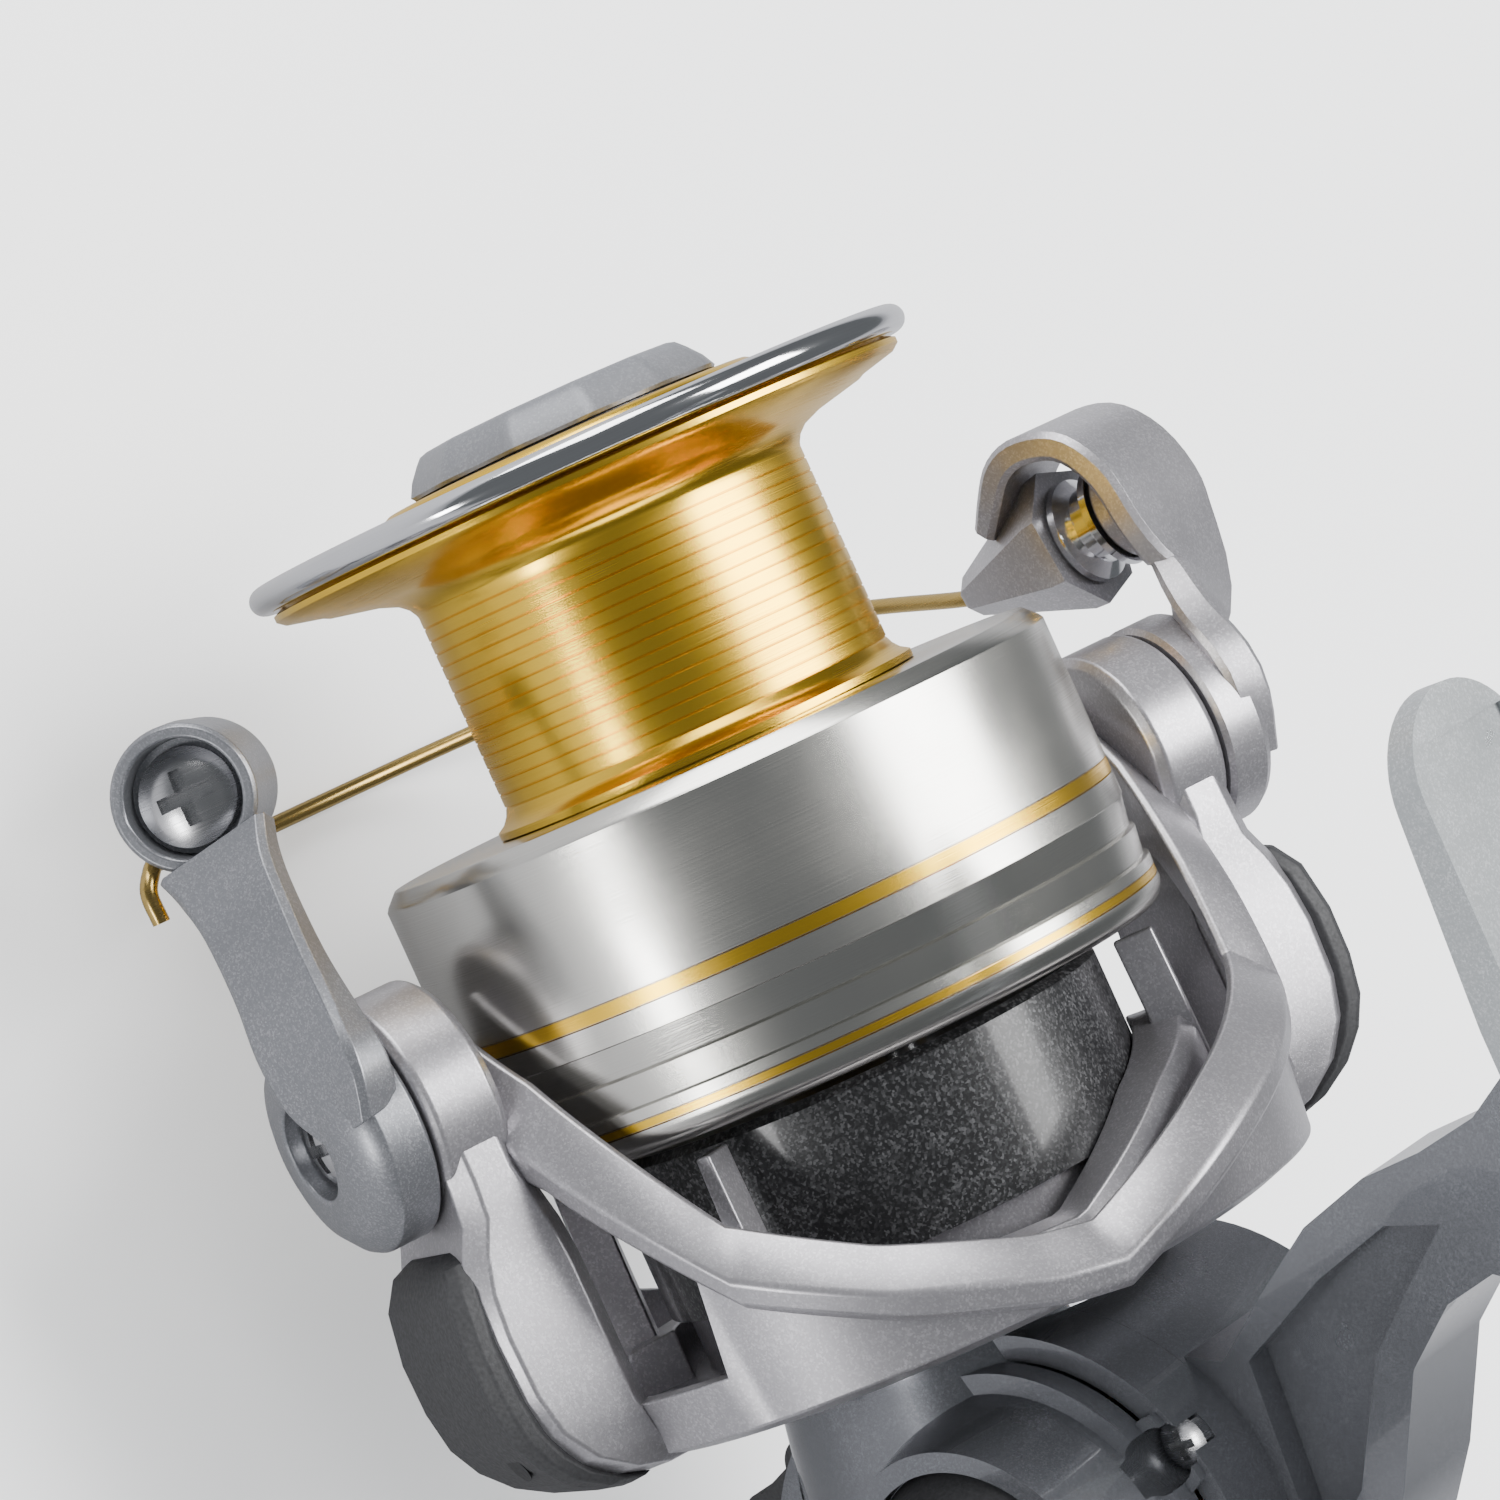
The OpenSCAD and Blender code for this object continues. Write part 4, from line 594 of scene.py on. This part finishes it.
class REEL_OT_spool(bpy.types.Operator):
    """Make the gold spool core, the stepped silver skirt and the lip's chrome ring"""
    bl_idname = "reel.spool"
    bl_label = "Spool"

    def execute(self, context):
        look = context.scene.reel_look
        # Core: front plateau, flange, conical underside, grooved arbor, rear fillet and hidden hub
        first, last = 7.4, 27.3
        pitch = (last - first) / look.arbor_grooves
        grooves = []
        for i in range(look.arbor_grooves):
            s = first + i * pitch
            grooves += [(ARBOR_R, s + 0.02), (ARBOR_R, s + pitch * 0.86), (ARBOR_R - 0.13, s + pitch * 0.91),
                        (ARBOR_R - 0.13, s + pitch * 0.95)]
        core = [(14.3, 9.4), (14.3, -2.35), (14.6, -2.4), (18.6, -2.4), (19.0, -2.2), (19.35, -1.8),
                (19.4, -0.7), (20.5, -0.5), (29.0, 0.0), (31.2, 0.12), (31.2, 1.2), (32.35, 1.75),
                (32.35, 2.3), (31.6, 2.9), (28.2, 3.7), (27.6, 4.0), (23.0, 5.0), (21.2, 5.7), (20.4, 6.4),
                (20.0, 7.1)]
        core += grooves
        core += [(ARBOR_R, 27.4), (ARBOR_R + 0.25, 28.0), (ARBOR_R + 0.8, 28.7), (ARBOR_R + 1.6, 29.2),
                 (ARBOR_R + 1.6, 29.9), (19.3, 29.9), (19.3, 32.0), (16, 32.1), (16, 34.4), (2.55, 34.4),
                 (2.55, 9.6), (14.3, 9.6)]
        obj = Shells().turned(core, 220).make("spool_core_turned", sharp=28)
        dress(obj, "gold_anodised", "spool", "gold_anodised", "spool_core")

        r = SKIRT_R
        wall = [(19.36, 30.05), (32.4, 30.05), (32.75, 30.1), (33.95, 31.3), (r, 31.7), (r, 46.0),
                (r - 0.22, 46.1)]
        lower = [(r - 0.22, 47.5), (r, 47.6), (r, 49.9), (r - 0.14, 50.0), (r - 0.62, 52.9),
                 (r - 0.14, 53.15), (r - 0.5, 55.9), (r, 56.1), (r, 57.1), (r - 0.22, 57.2)]
        rim = [(r - 0.22, 58.0), (r, 58.1), (r, 58.6), (r - 0.25, 59.3), (r - 0.7, 60.0), (r - 1.3, 60.4),
               (r - 1.9, 60.4), (32.2, 60.2), (32.2, 32.6), (19.36, 32.6)]
        obj = Shells().turned(wall + lower + rim, 240).make("spool_skirt_turned", sharp=24)
        dress(obj, "turned_aluminium", "spool", "turned_aluminium", "spool_skirt")
        # Two gold lines lie in the skirt's grooves
        lines = Shells()
        for s0, s1 in ((46.12, 47.48), (57.22, 57.98)):
            lines.turned([(r - 0.3, s0), (r - 0.04, s0 + 0.03), (r - 0.04, s1 - 0.03), (r - 0.3, s1)], 240)
        dress(lines.make("spool_gold_lines", sharp=40), "gold_anodised", "spool", "gold_anodised")

        a = np.linspace(0, 2 * math.pi, 28, endpoint=False)
        ring = np.stack([LIP_R - RING_R + RING_R * np.cos(a), RING_R * np.sin(a)], -1)
        keep = ring[:, 0] > LIP_R - 2 * RING_R
        obj = Shells().turned(ring[keep], 240).make("lip_ring_polished", sharp=50)
        dress(obj, "chrome_ring", "spool", "chrome_ring", "lip_ring")
        return {"FINISHED"}


# The hoop's front edge and its depth, as stations and millimetres at turns in degrees from an arm
HOOP_FRONT = ((0, 41), (16, 50), (27, 59), (38, 68.3), (57, 75), (77, 80), (86, 81.2), (100, 78), (114, 74.8),
              (130, 71.6), (148, 67.8), (157, 58), (168, 48), (180, 41))
HOOP_DEPTH = ((0, 12), (20, 10), (38, 7.4), (86, 6.6), (148, 7.4), (165, 10), (180, 12))


def round_sections(corners, turn):
    """Sections round the axis: each corner is a radius and a station, one number or one value per turn."""
    return np.stack([axis_point(station, radius, np.radians(turn)) for radius, station in corners], 1)


def arm_sections(side, stations, middle, half_thick, half_wide, cut):
    """Chamfered sections carried down an arm; side is 1 for the left arm and -1 for the right."""
    rings = []
    for s, y, thick, wide in zip(stations, middle, half_thick, half_wide):
        uv = chamfered(thick, wide, cut)
        rings.append(rotor_to_row(np.stack([np.full(8, -s), side * (y + uv[:, 0]), uv[:, 1]], -1)))
    return np.array(rings)


class REEL_OT_rotor(bpy.types.Operator):
    """Make the rotor: bevelled hoop, two arms with round pivot ends, cup, floor and inner ledge"""
    bl_idname = "reel.rotor"
    bl_label = "Rotor"

    def execute(self, context):
        thick = context.scene.reel_look.hoop_thickness / MM
        shells = Shells()
        # Hoop: at each turn a bevelled section runs from its front edge to its back edge
        corner = np.array([38, 86, 148.0])
        half = np.unique(np.concatenate([np.linspace(0, 180, 91), corner]))
        deg = np.concatenate([half, 360 - half[1:-1][::-1]])
        fold = np.where(deg > 180, 360 - deg, deg)
        front = along(HOOP_FRONT, fold)
        depth = along(HOOP_DEPTH, fold)
        out = HOOP_R + thick
        section = np.array([[HOOP_R, 0.0, 0.25], [HOOP_R + 0.8, 0.0, 0.0], [out - 0.25, 0.52, 0.0],
                            [out, 0.62, 0.0], [out - 0.4, 0.9, 0.0], [out - 1.4, 1.0, 0.0], [HOOP_R, 1.0, 0.0]])
        radius = np.broadcast_to(section[:, 0], (len(deg), len(section)))
        station = front[:, None] + section[None, :, 1] * depth[:, None] + section[None, :, 2]
        shells.add(axis_point(station, radius, np.radians(deg)[:, None]), wrap_rows=True)
        # Cup, floor ring and its rounded rim
        shells.turned([(4.05, 63), (24, 63), (24, 84), (33.5, 84), (35.4, 84.6), (36.2, 85.6), (35.6, 87),
                       (33, 87.5), (21.6, 87.5), (21.6, 66), (4.05, 66)], 160)
        # Skin that closes the hoop down to the floor, open beside the arms
        turn = np.linspace(0, 360, 181)[:-1]
        fold = np.where(turn > 180, 360 - turn, turn)
        top = np.minimum(along(HOOP_FRONT, fold) + along(HOOP_DEPTH, fold) - 0.5, 85.4)
        top = np.where((fold < 31) | (fold > 155), 81.0, top)
        skin = ((HOOP_R + 0.1, top), (HOOP_R + 2.4, top), (HOOP_R + 1.2, 86.4), (HOOP_R - 1.6, 87.4),
                (HOOP_R - 1.6, 84.2))
        shells.add(round_sections(skin, turn), wrap_rows=True)
        # Inner ledge: a low V-shaped step ahead of the floor, its corner at the top
        turn = np.linspace(22, 158, 60)
        lead = along(((22, 79), (60, 80), (90, 81), (120, 74), (150, 70), (158, 70)), turn)
        ledge = ((25.8, lead), (30.6, lead + 0.4), (31.6, lead + 2.0), (31.8, 84.5), (25.8, 84.5))
        for flip in (1, -1):
            shells.add(round_sections(ledge, flip * turn))
        # Ribs inside the hoop
        s = np.array([62.5, 70, 84.5])
        half_w = np.array([0.7, 0.9, 1.2])
        rad = np.array([31.6, 31.8, 32.0])
        for rib in (34, 146, -34, -146):
            a = math.radians(rib)
            sec = np.stack([axis_point(s, rad - 4, a - half_w / 28), axis_point(s, rad, a - half_w / 30),
                            axis_point(s, rad, a + half_w / 30), axis_point(s, rad - 4, a + half_w / 28)], 1)
            shells.add(sec)
        # Arms: a chamfered section carried down from the pivot end to the floor
        s = np.array([50, 56, 59.5, 62.5, 66, 70, 76, 80, 83.5, 86, 87.3])
        face = np.array([45.8, 45.9, 46.2, 47.6, 48.6, 49.0, 48.8, 47.8, 45.4, 42.0, 38.0])
        back = np.array([38.3, 38.3, 37.6, 36.9, 36.6, 36.6, 36.6, 36.4, 35.6, 33.5, 32.0])
        wide = np.array([9.8, 9.9, 9.8, 9.6, 9.6, 9.7, 9.6, 9.2, 8.6, 7.6, 6.4])
        for side in (1, -1):
            shells.add(arm_sections(side, s, (face + back) / 2, (face - back) / 2, wide, 1.9))
            # Round pivot end with a chamfered rim
            a = np.linspace(0, 2 * math.pi, 72, endpoint=False)
            rings = []
            for y, r in ((38.3, 10.2), (39.2, 11.1), (45.2, 11.1), (45.95, 10.5)):
                rings.append(rotor_to_row(np.stack([-PIVOT_S + r * np.cos(a), np.full(72, side * y),
                                                    r * np.sin(a)], -1)))
            shells.add(np.array(rings))
        obj = shells.make("rotor_shell", sharp=30, bevel=0.28)
        dress(obj, "rotor_paint", "rotor_group", "rotor_paint", "rotor")
        repaint("rotor_cup_cover", "black_speckle")

        # Textured panels on the outer faces of the arms, each with a slot near its lower end; the slot is a
        # near-black disc of painted shade, not a hole
        s = np.array([61.2, 62.2, 65, 70, 75, 79, 82, 84.6, 86.6, 87.6])
        face = np.array([47.6, 48.9, 50.2, 50.9, 50.8, 50.2, 48.8, 46.6, 43.6, 40.6])
        wide = np.array([5.0, 7.4, 8.8, 9.2, 9.2, 8.9, 8.3, 7.4, 6.2, 4.6])
        for side, label in ((1, "left"), (-1, "right")):
            grid = arm_sections(side, s, face - 1.6, np.full_like(face, 1.7), wide, 1.0)
            obj = Shells().add(grid).make("arm_panel_" + label, sharp=30, bevel=0.35)
            dress(obj, "black_plastic", "rotor_group", "black_plastic", "arm_cover_" + label,
                  *(("arm_cover_screws",) if side > 0 else ()))
            # Painted shade: a thin near-black disc where the slot's depth would lie in shade
            well = [(0, 0.2), (1.3, 0.2), (1.6, 0.75), (0, 0.75)]
            shells = Shells()
            spun_closed(shells, round_end([-81.5, side * 48.4, 3.2], [-0.35, side, 0.0], well, 24))
            obj = shells.make("panel_slot_shade_" + label, sharp=30)
            dress(obj, "painted_slot_shade", "rotor_group", "black_plastic")
        return {"FINISHED"}


def unit(v):
    v = np.asarray(v, float)
    return v / np.linalg.norm(v, axis=-1, keepdims=True)


def plate(points, normals, half_width, half_thick, cut):
    """A chamfered section carried along a path: its width lies across the path and the given normals."""
    points = np.asarray(points, float)
    n = unit(normals)
    t = unit(np.gradient(points, axis=0))
    w = unit(np.cross(t, n))
    n = unit(np.cross(w, t))
    rings = []
    for p, wi, ni, hw, ht, c in zip(points, w, n, half_width, half_thick, cut):
        uv = chamfered(hw, ht, c)
        rings.append(p + uv[:, :1] * wi + uv[:, 1:] * ni)
    return rotor_to_row(np.array(rings))


def dense(values, steps):
    """Control rows turned into an evenly stepped smooth run of rows."""
    path = smooth_path(np.asarray(values, float), 8)
    pick = np.linspace(0, len(path) - 1, steps)
    low = np.floor(pick).astype(int)
    high = np.minimum(low + 1, len(path) - 1)
    return path[low] + (path[high] - path[low]) * (pick - low)[:, None]


def round_end(centre, direction, profile, steps=64):
    """A profile of (radius, height) spun round a line through a rotor-frame centre."""
    d = unit(direction)
    u = unit(np.cross(d, [0.0, 0.3, 1.0] if abs(d[1]) < 0.9 else [1.0, 0.0, 0.0]))
    v = np.cross(d, u)
    a = np.linspace(0, 2 * math.pi, steps, endpoint=False)[:, None]
    prof = np.asarray(profile, float)
    r = prof[None, :, :1].repeat(steps, 0)
    h = prof[None, :, 1:].repeat(steps, 0)
    spoke = np.cos(a)[..., None] * u + np.sin(a)[..., None] * v
    return rotor_to_row(np.asarray(centre, float) + r * spoke + h * d)


LEVER_L = 34.5
LEVER_DROP = math.radians(7)
LEVER_TWIST = math.radians(55)
LEVER_TIP = np.array([LEVER_L * math.cos(LEVER_DROP) - PIVOT_S, 48.4, -LEVER_L * math.sin(LEVER_DROP)])
LEVER_NORMAL = np.array([0.0, math.cos(LEVER_TWIST), math.sin(LEVER_TWIST)])
ROLLER_AT = np.array([-26.5, -52.6, -4.2])
ROLLER_AXIS = unit([0.1, -0.45, 0.887])
# The domed disc over each pivot, as radii and heights above the arm's face
DISC = [(0.0, 0.35), (10.6, 0.35), (11.15, 0.8), (11.15, 4.6), (10.7, 5.4), (8.9, 6.9), (7.2, 7.55), (4.9, 7.7),
        (4.55, 7.5), (4.5, 5.1), (0.0, 5.1)]


def spun_closed(shells, grid):
    """Adds a spun profile whose ends lie on its own axis."""
    shells.add(np.swapaxes(grid, 0, 1), wrap_rows=False, wrap_cols=True, caps=False)


class REEL_OT_bail(bpy.types.Operator):
    """Make the bail wire, its lever and clamp block, and the roller's arm with its cone"""
    bl_idname = "reel.bail"
    bl_label = "Bail"

    def execute(self, context):
        hold = LEVER_TIP - 6.4 * LEVER_NORMAL
        entry, leave = hold + [-4.4, -5.6, -3.6], hold + [-4.4, 8, 1.4]
        tip = ROLLER_AT - 18.3 * ROLLER_AXIS
        hook = smooth_path([hold + [-9.6, 9.8, 2], hold + [-6.6, 9.7, 2], leave], 8)
        loop = smooth_path([entry, [-19.4, 39.9, -19], [-20, 39.4, -31], [-20, 35.5, -42], [-20, 25, -51],
                            [-20, 12, -56], [-20, 0, -57.2], [-20.2, -12, -56], [-20.8, -25, -51.6],
                            [-22.6, -35.5, -43.4], [-25.6, -41.6, -33.5], tip, tip + 3 * ROLLER_AXIS], 10)
        path = np.vstack([hook, loop])
        radius = context.scene.reel_look.wire_diameter / MM / 2
        obj = Shells().add(rotor_to_row(tube_grid(path, radius, 20))).make("bail_wire_bow", sharp=60)
        dress(obj, "gold_wire", "bail", "gold_wire", "bail_wire")

        # Lever: a flat link that twists from the pivot's face to the clamp's face
        rows = dense([
            # x, y, z, normal y, normal z, half width, half thickness
            [-47.0, 50.2, 7.2, 1.0, 0.25, 4.0, 2.6],
            [-43.0, 50.7, 6.6, 1.0, 0.38, 5.8, 2.4],
            [-38.5, 50.9, 5.4, 0.95, 0.55, 5.6, 2.2],
            [-32.5, 50.5, 3.9, 0.85, 0.75, 4.7, 2.0],
            [-26.0, 49.7, 1.4, 0.72, 0.84, 4.6, 1.9],
            [-22.0, 49.1, -0.8, 0.62, 0.80, 5.2, 1.8],
            [-19.4, 48.7, -2.2, 0.5736, 0.8192, 6.0, 1.7],
        ], 28)
        normals = np.stack([np.zeros(len(rows)), rows[:, 3], rows[:, 4]], -1)
        shells = Shells()
        shells.add(plate(rows[:, :3], normals, rows[:, 5], rows[:, 6], np.full(len(rows), 0.7)))
        # Clamp end with its recess, and the pivot's domed disc with its screw well
        clamp = [(0, -3.4), (6.6, -3.4), (6.95, -3.0), (6.95, 1.3), (6.6, 1.75), (5.75, 1.75), (5.55, 1.5),
                 (5.45, -1.6), (0, -1.6)]
        spun_closed(shells, round_end(LEVER_TIP, LEVER_NORMAL, clamp))
        spun_closed(shells, round_end([-PIVOT_S, ARM_FACE, 0], [0, 1, 0], DISC))
        obj = shells.make("bail_lever_arm", sharp=32, bevel=0.25)
        dress(obj, "lever_paint", "bail", "graphite_paint", "bail_lever")
        # Clamp block behind the lever
        block = [(0, -9.5), (6.0, -9.5), (6.6, -8.9), (6.6, -4.0), (6.2, -3.45), (0, -3.45)]
        shells = Shells()
        spun_closed(shells, round_end(LEVER_TIP, LEVER_NORMAL, block))
        obj = shells.make("wire_clamp_block", sharp=32)
        dress(obj, "lever_paint", "bail", "graphite_paint", "wire_holder")

        # Roller arm: pivot disc, a hood that twists round the roller, and the wire's faceted cone
        a = ROLLER_AXIS
        f = unit(np.array([1.0, 0, 0]) - a * a[0])
        shells = Shells()
        spun_closed(shells, round_end([-PIVOT_S, -ARM_FACE, 0], [0, -1, 0], DISC))

        def local(ai, fi, wi=0.0):
            return ROLLER_AT + ai * a + fi * f + wi * np.cross(a, f)

        back = np.array([0, -1.0, 0.0])
        stations = [
            # place, normal, half width, half thickness
            (np.array([-52.0, -50.8, 2.0]), back, 7.0, 2.2),
            (np.array([-45.0, -51.8, 3.4]), back + 0.1 * a, 8.2, 2.2),
            (np.array([-40.0, -53.2, 2.6]), 0.8 * back + 0.5 * a, 7.6, 2.0),
            (local(6.0, -8.0, -1.0), 0.3 * back + a, 7.2, 1.6),
            (local(6.7, -2.0, -0.6), a, 7.4, 1.5),
            (local(6.2, 4.0, -0.4), a + 0.3 * f, 7.4, 1.5),
            (local(3.6, 8.4, -0.2), 0.6 * a + 0.8 * f, 7.2, 1.5),
            (local(-0.6, 10.0), f + 0.1 * a, 7.0, 1.5),
            (local(-4.2, 9.4), f - 0.3 * a, 6.6, 1.5),
            (local(-7.6, 7.0), f - 0.5 * a, 5.6, 1.4),
            (local(-11.0, 4.7), f - 0.5 * a, 3.8, 1.2),
        ]
        rows = dense([np.concatenate([p, n, [w, t]]) for p, n, w, t in stations], 40)
        shells.add(plate(rows[:, :3], rows[:, 3:6], rows[:, 6], rows[:, 7], np.full(len(rows), 0.6)))
        # Faceted cone: seven flat sides from the wire's tip to the roller's cheek
        sides = 7
        ang = np.linspace(0, 2 * math.pi, sides, endpoint=False) + 0.25
        rings = []
        for along_a, r in ((-18.2, 1.7), (-17.6, 2.3), (-4.6, 7.5), (-2.85, 7.7)):
            rings.append(np.array([local(along_a, r * math.cos(t), r * math.sin(t)) for t in ang]))
        shells.add(rotor_to_row(np.array(rings)))
        # Cheek on the far side of the roller
        cheek = [(0, 2.8), (5.0, 2.8), (5.2, 3.1), (5.2, 5.2), (4.9, 5.5), (0, 5.5)]
        spun_closed(shells, round_end(ROLLER_AT, a, cheek))
        obj = shells.make("roller_arm_hood", sharp=30, bevel=0.3)
        dress(obj, "rotor_paint", "bail", "rotor_paint", "roller_arm")
        return {"FINISHED"}


class REEL_OT_knob(bpy.types.Operator):
    """Make the drag knob: a low tapered cap with flat flanks and a softened crown"""
    bl_idname = "reel.knob"
    bl_label = "Drag knob"

    def execute(self, context):
        flats = 12
        turn = np.linspace(0, 2 * math.pi, 144, endpoint=False)
        # Distance to a flat-sided outline: the apothem over the cosine of the angle from the flat's middle
        part = (turn + math.pi / flats) % (2 * math.pi / flats) - math.pi / flats
        flat = math.cos(math.pi / flats) / np.cos(part)
        # Radius, height ahead of the lip and share of the flats in each ring
        rows = ((13.15, -0.6, 0), (13.15, 2.7, 0), (15.7, 2.75, 0.3), (16.1, 3.1, 1), (15.4, 4.4, 1),
                (14.3, 5.7, 1), (13.7, 6.3, 1), (12.9, 6.55, 1), (11.6, 6.6, 0.8), (11.2, 6.35, 0.4),
                (6.0, 6.2, 0), (0.0, 6.2, 0))
        grid = np.array([axis_point(-x, r * (1 + (flat - 1) * share), turn) for r, x, share in rows])
        shells = Shells()
        shells.add(grid, caps=False)
        base = np.array([axis_point(0.6, r, turn) for r in (13.15, 6.0, 0.0)])
        shells.add(base, caps=False)
        obj = shells.make("drag_knob_cap", sharp=30)
        dress(obj, "knob_plastic", "knob", "knob_plastic", "drag_knob")
        return {"FINISHED"}


# Height of the foot's underside, where its silver ends
FOOT_LOW = -5.2


class REEL_OT_body(bpy.types.Operator):
    """Make the gear case, its cover, the stem and the foot with rounded edges"""
    bl_idname = "reel.body"
    bl_label = "Body"

    def execute(self, context):
        for name, bevel in (("body_frame", 0.45), ("side_cover", 0.4), ("handle_arm", 0.5)):
            body = "crank" if name == "handle_arm" else "frame"
            obj = copied(name, name + "_rounded", sharp=32, bevel=bevel)
            obj.modifiers["Edges"].use_clamp_overlap = True
            dress(obj, "graphite_paint", body, "graphite_paint", name)
            if name == "body_frame":
                # The foot is silver down to where the stem meets it
                obj.data.materials.append(FINISHES["foot_silver"])
                height = np.array([f.center[2] for f in obj.data.polygons]) / MM
                obj.data.polygons.foreach_set("material_index", (height > FOOT_LOW).astype(np.int32))
        return {"FINISHED"}


CLASSES = (ReelLook, REEL_OT_finishes, REEL_OT_stage, REEL_OT_spool, REEL_OT_rotor, REEL_OT_bail, REEL_OT_knob,
           REEL_OT_body)


class REEL_PT_panel(bpy.types.Panel):
    """Sizes, colours and makers of the reel's visible pieces"""
    bl_idname = "REEL_PT_panel"
    bl_label = "Spinning reel"
    bl_space_type = "VIEW_3D"
    bl_region_type = "UI"
    bl_category = "Reel"

    def draw(self, context):
        look = context.scene.reel_look
        for key in look.__annotations__:
            self.layout.prop(look, key)
        for cls in CLASSES[1:]:
            self.layout.operator(cls.bl_idname)


def register():
    for cls in CLASSES + (REEL_PT_panel,):
        bpy.utils.register_class(cls)
    bpy.types.Scene.reel_look = bpy.props.PointerProperty(type=ReelLook)


def unregister():
    del bpy.types.Scene.reel_look
    for cls in reversed(CLASSES + (REEL_PT_panel,)):
        bpy.utils.unregister_class(cls)


def main():
    register()
    for step in ("finishes", "stage", "spool", "rotor", "bail", "knob", "body"):
        getattr(bpy.ops.reel, step)()


if __name__ == "__main__":
    main()
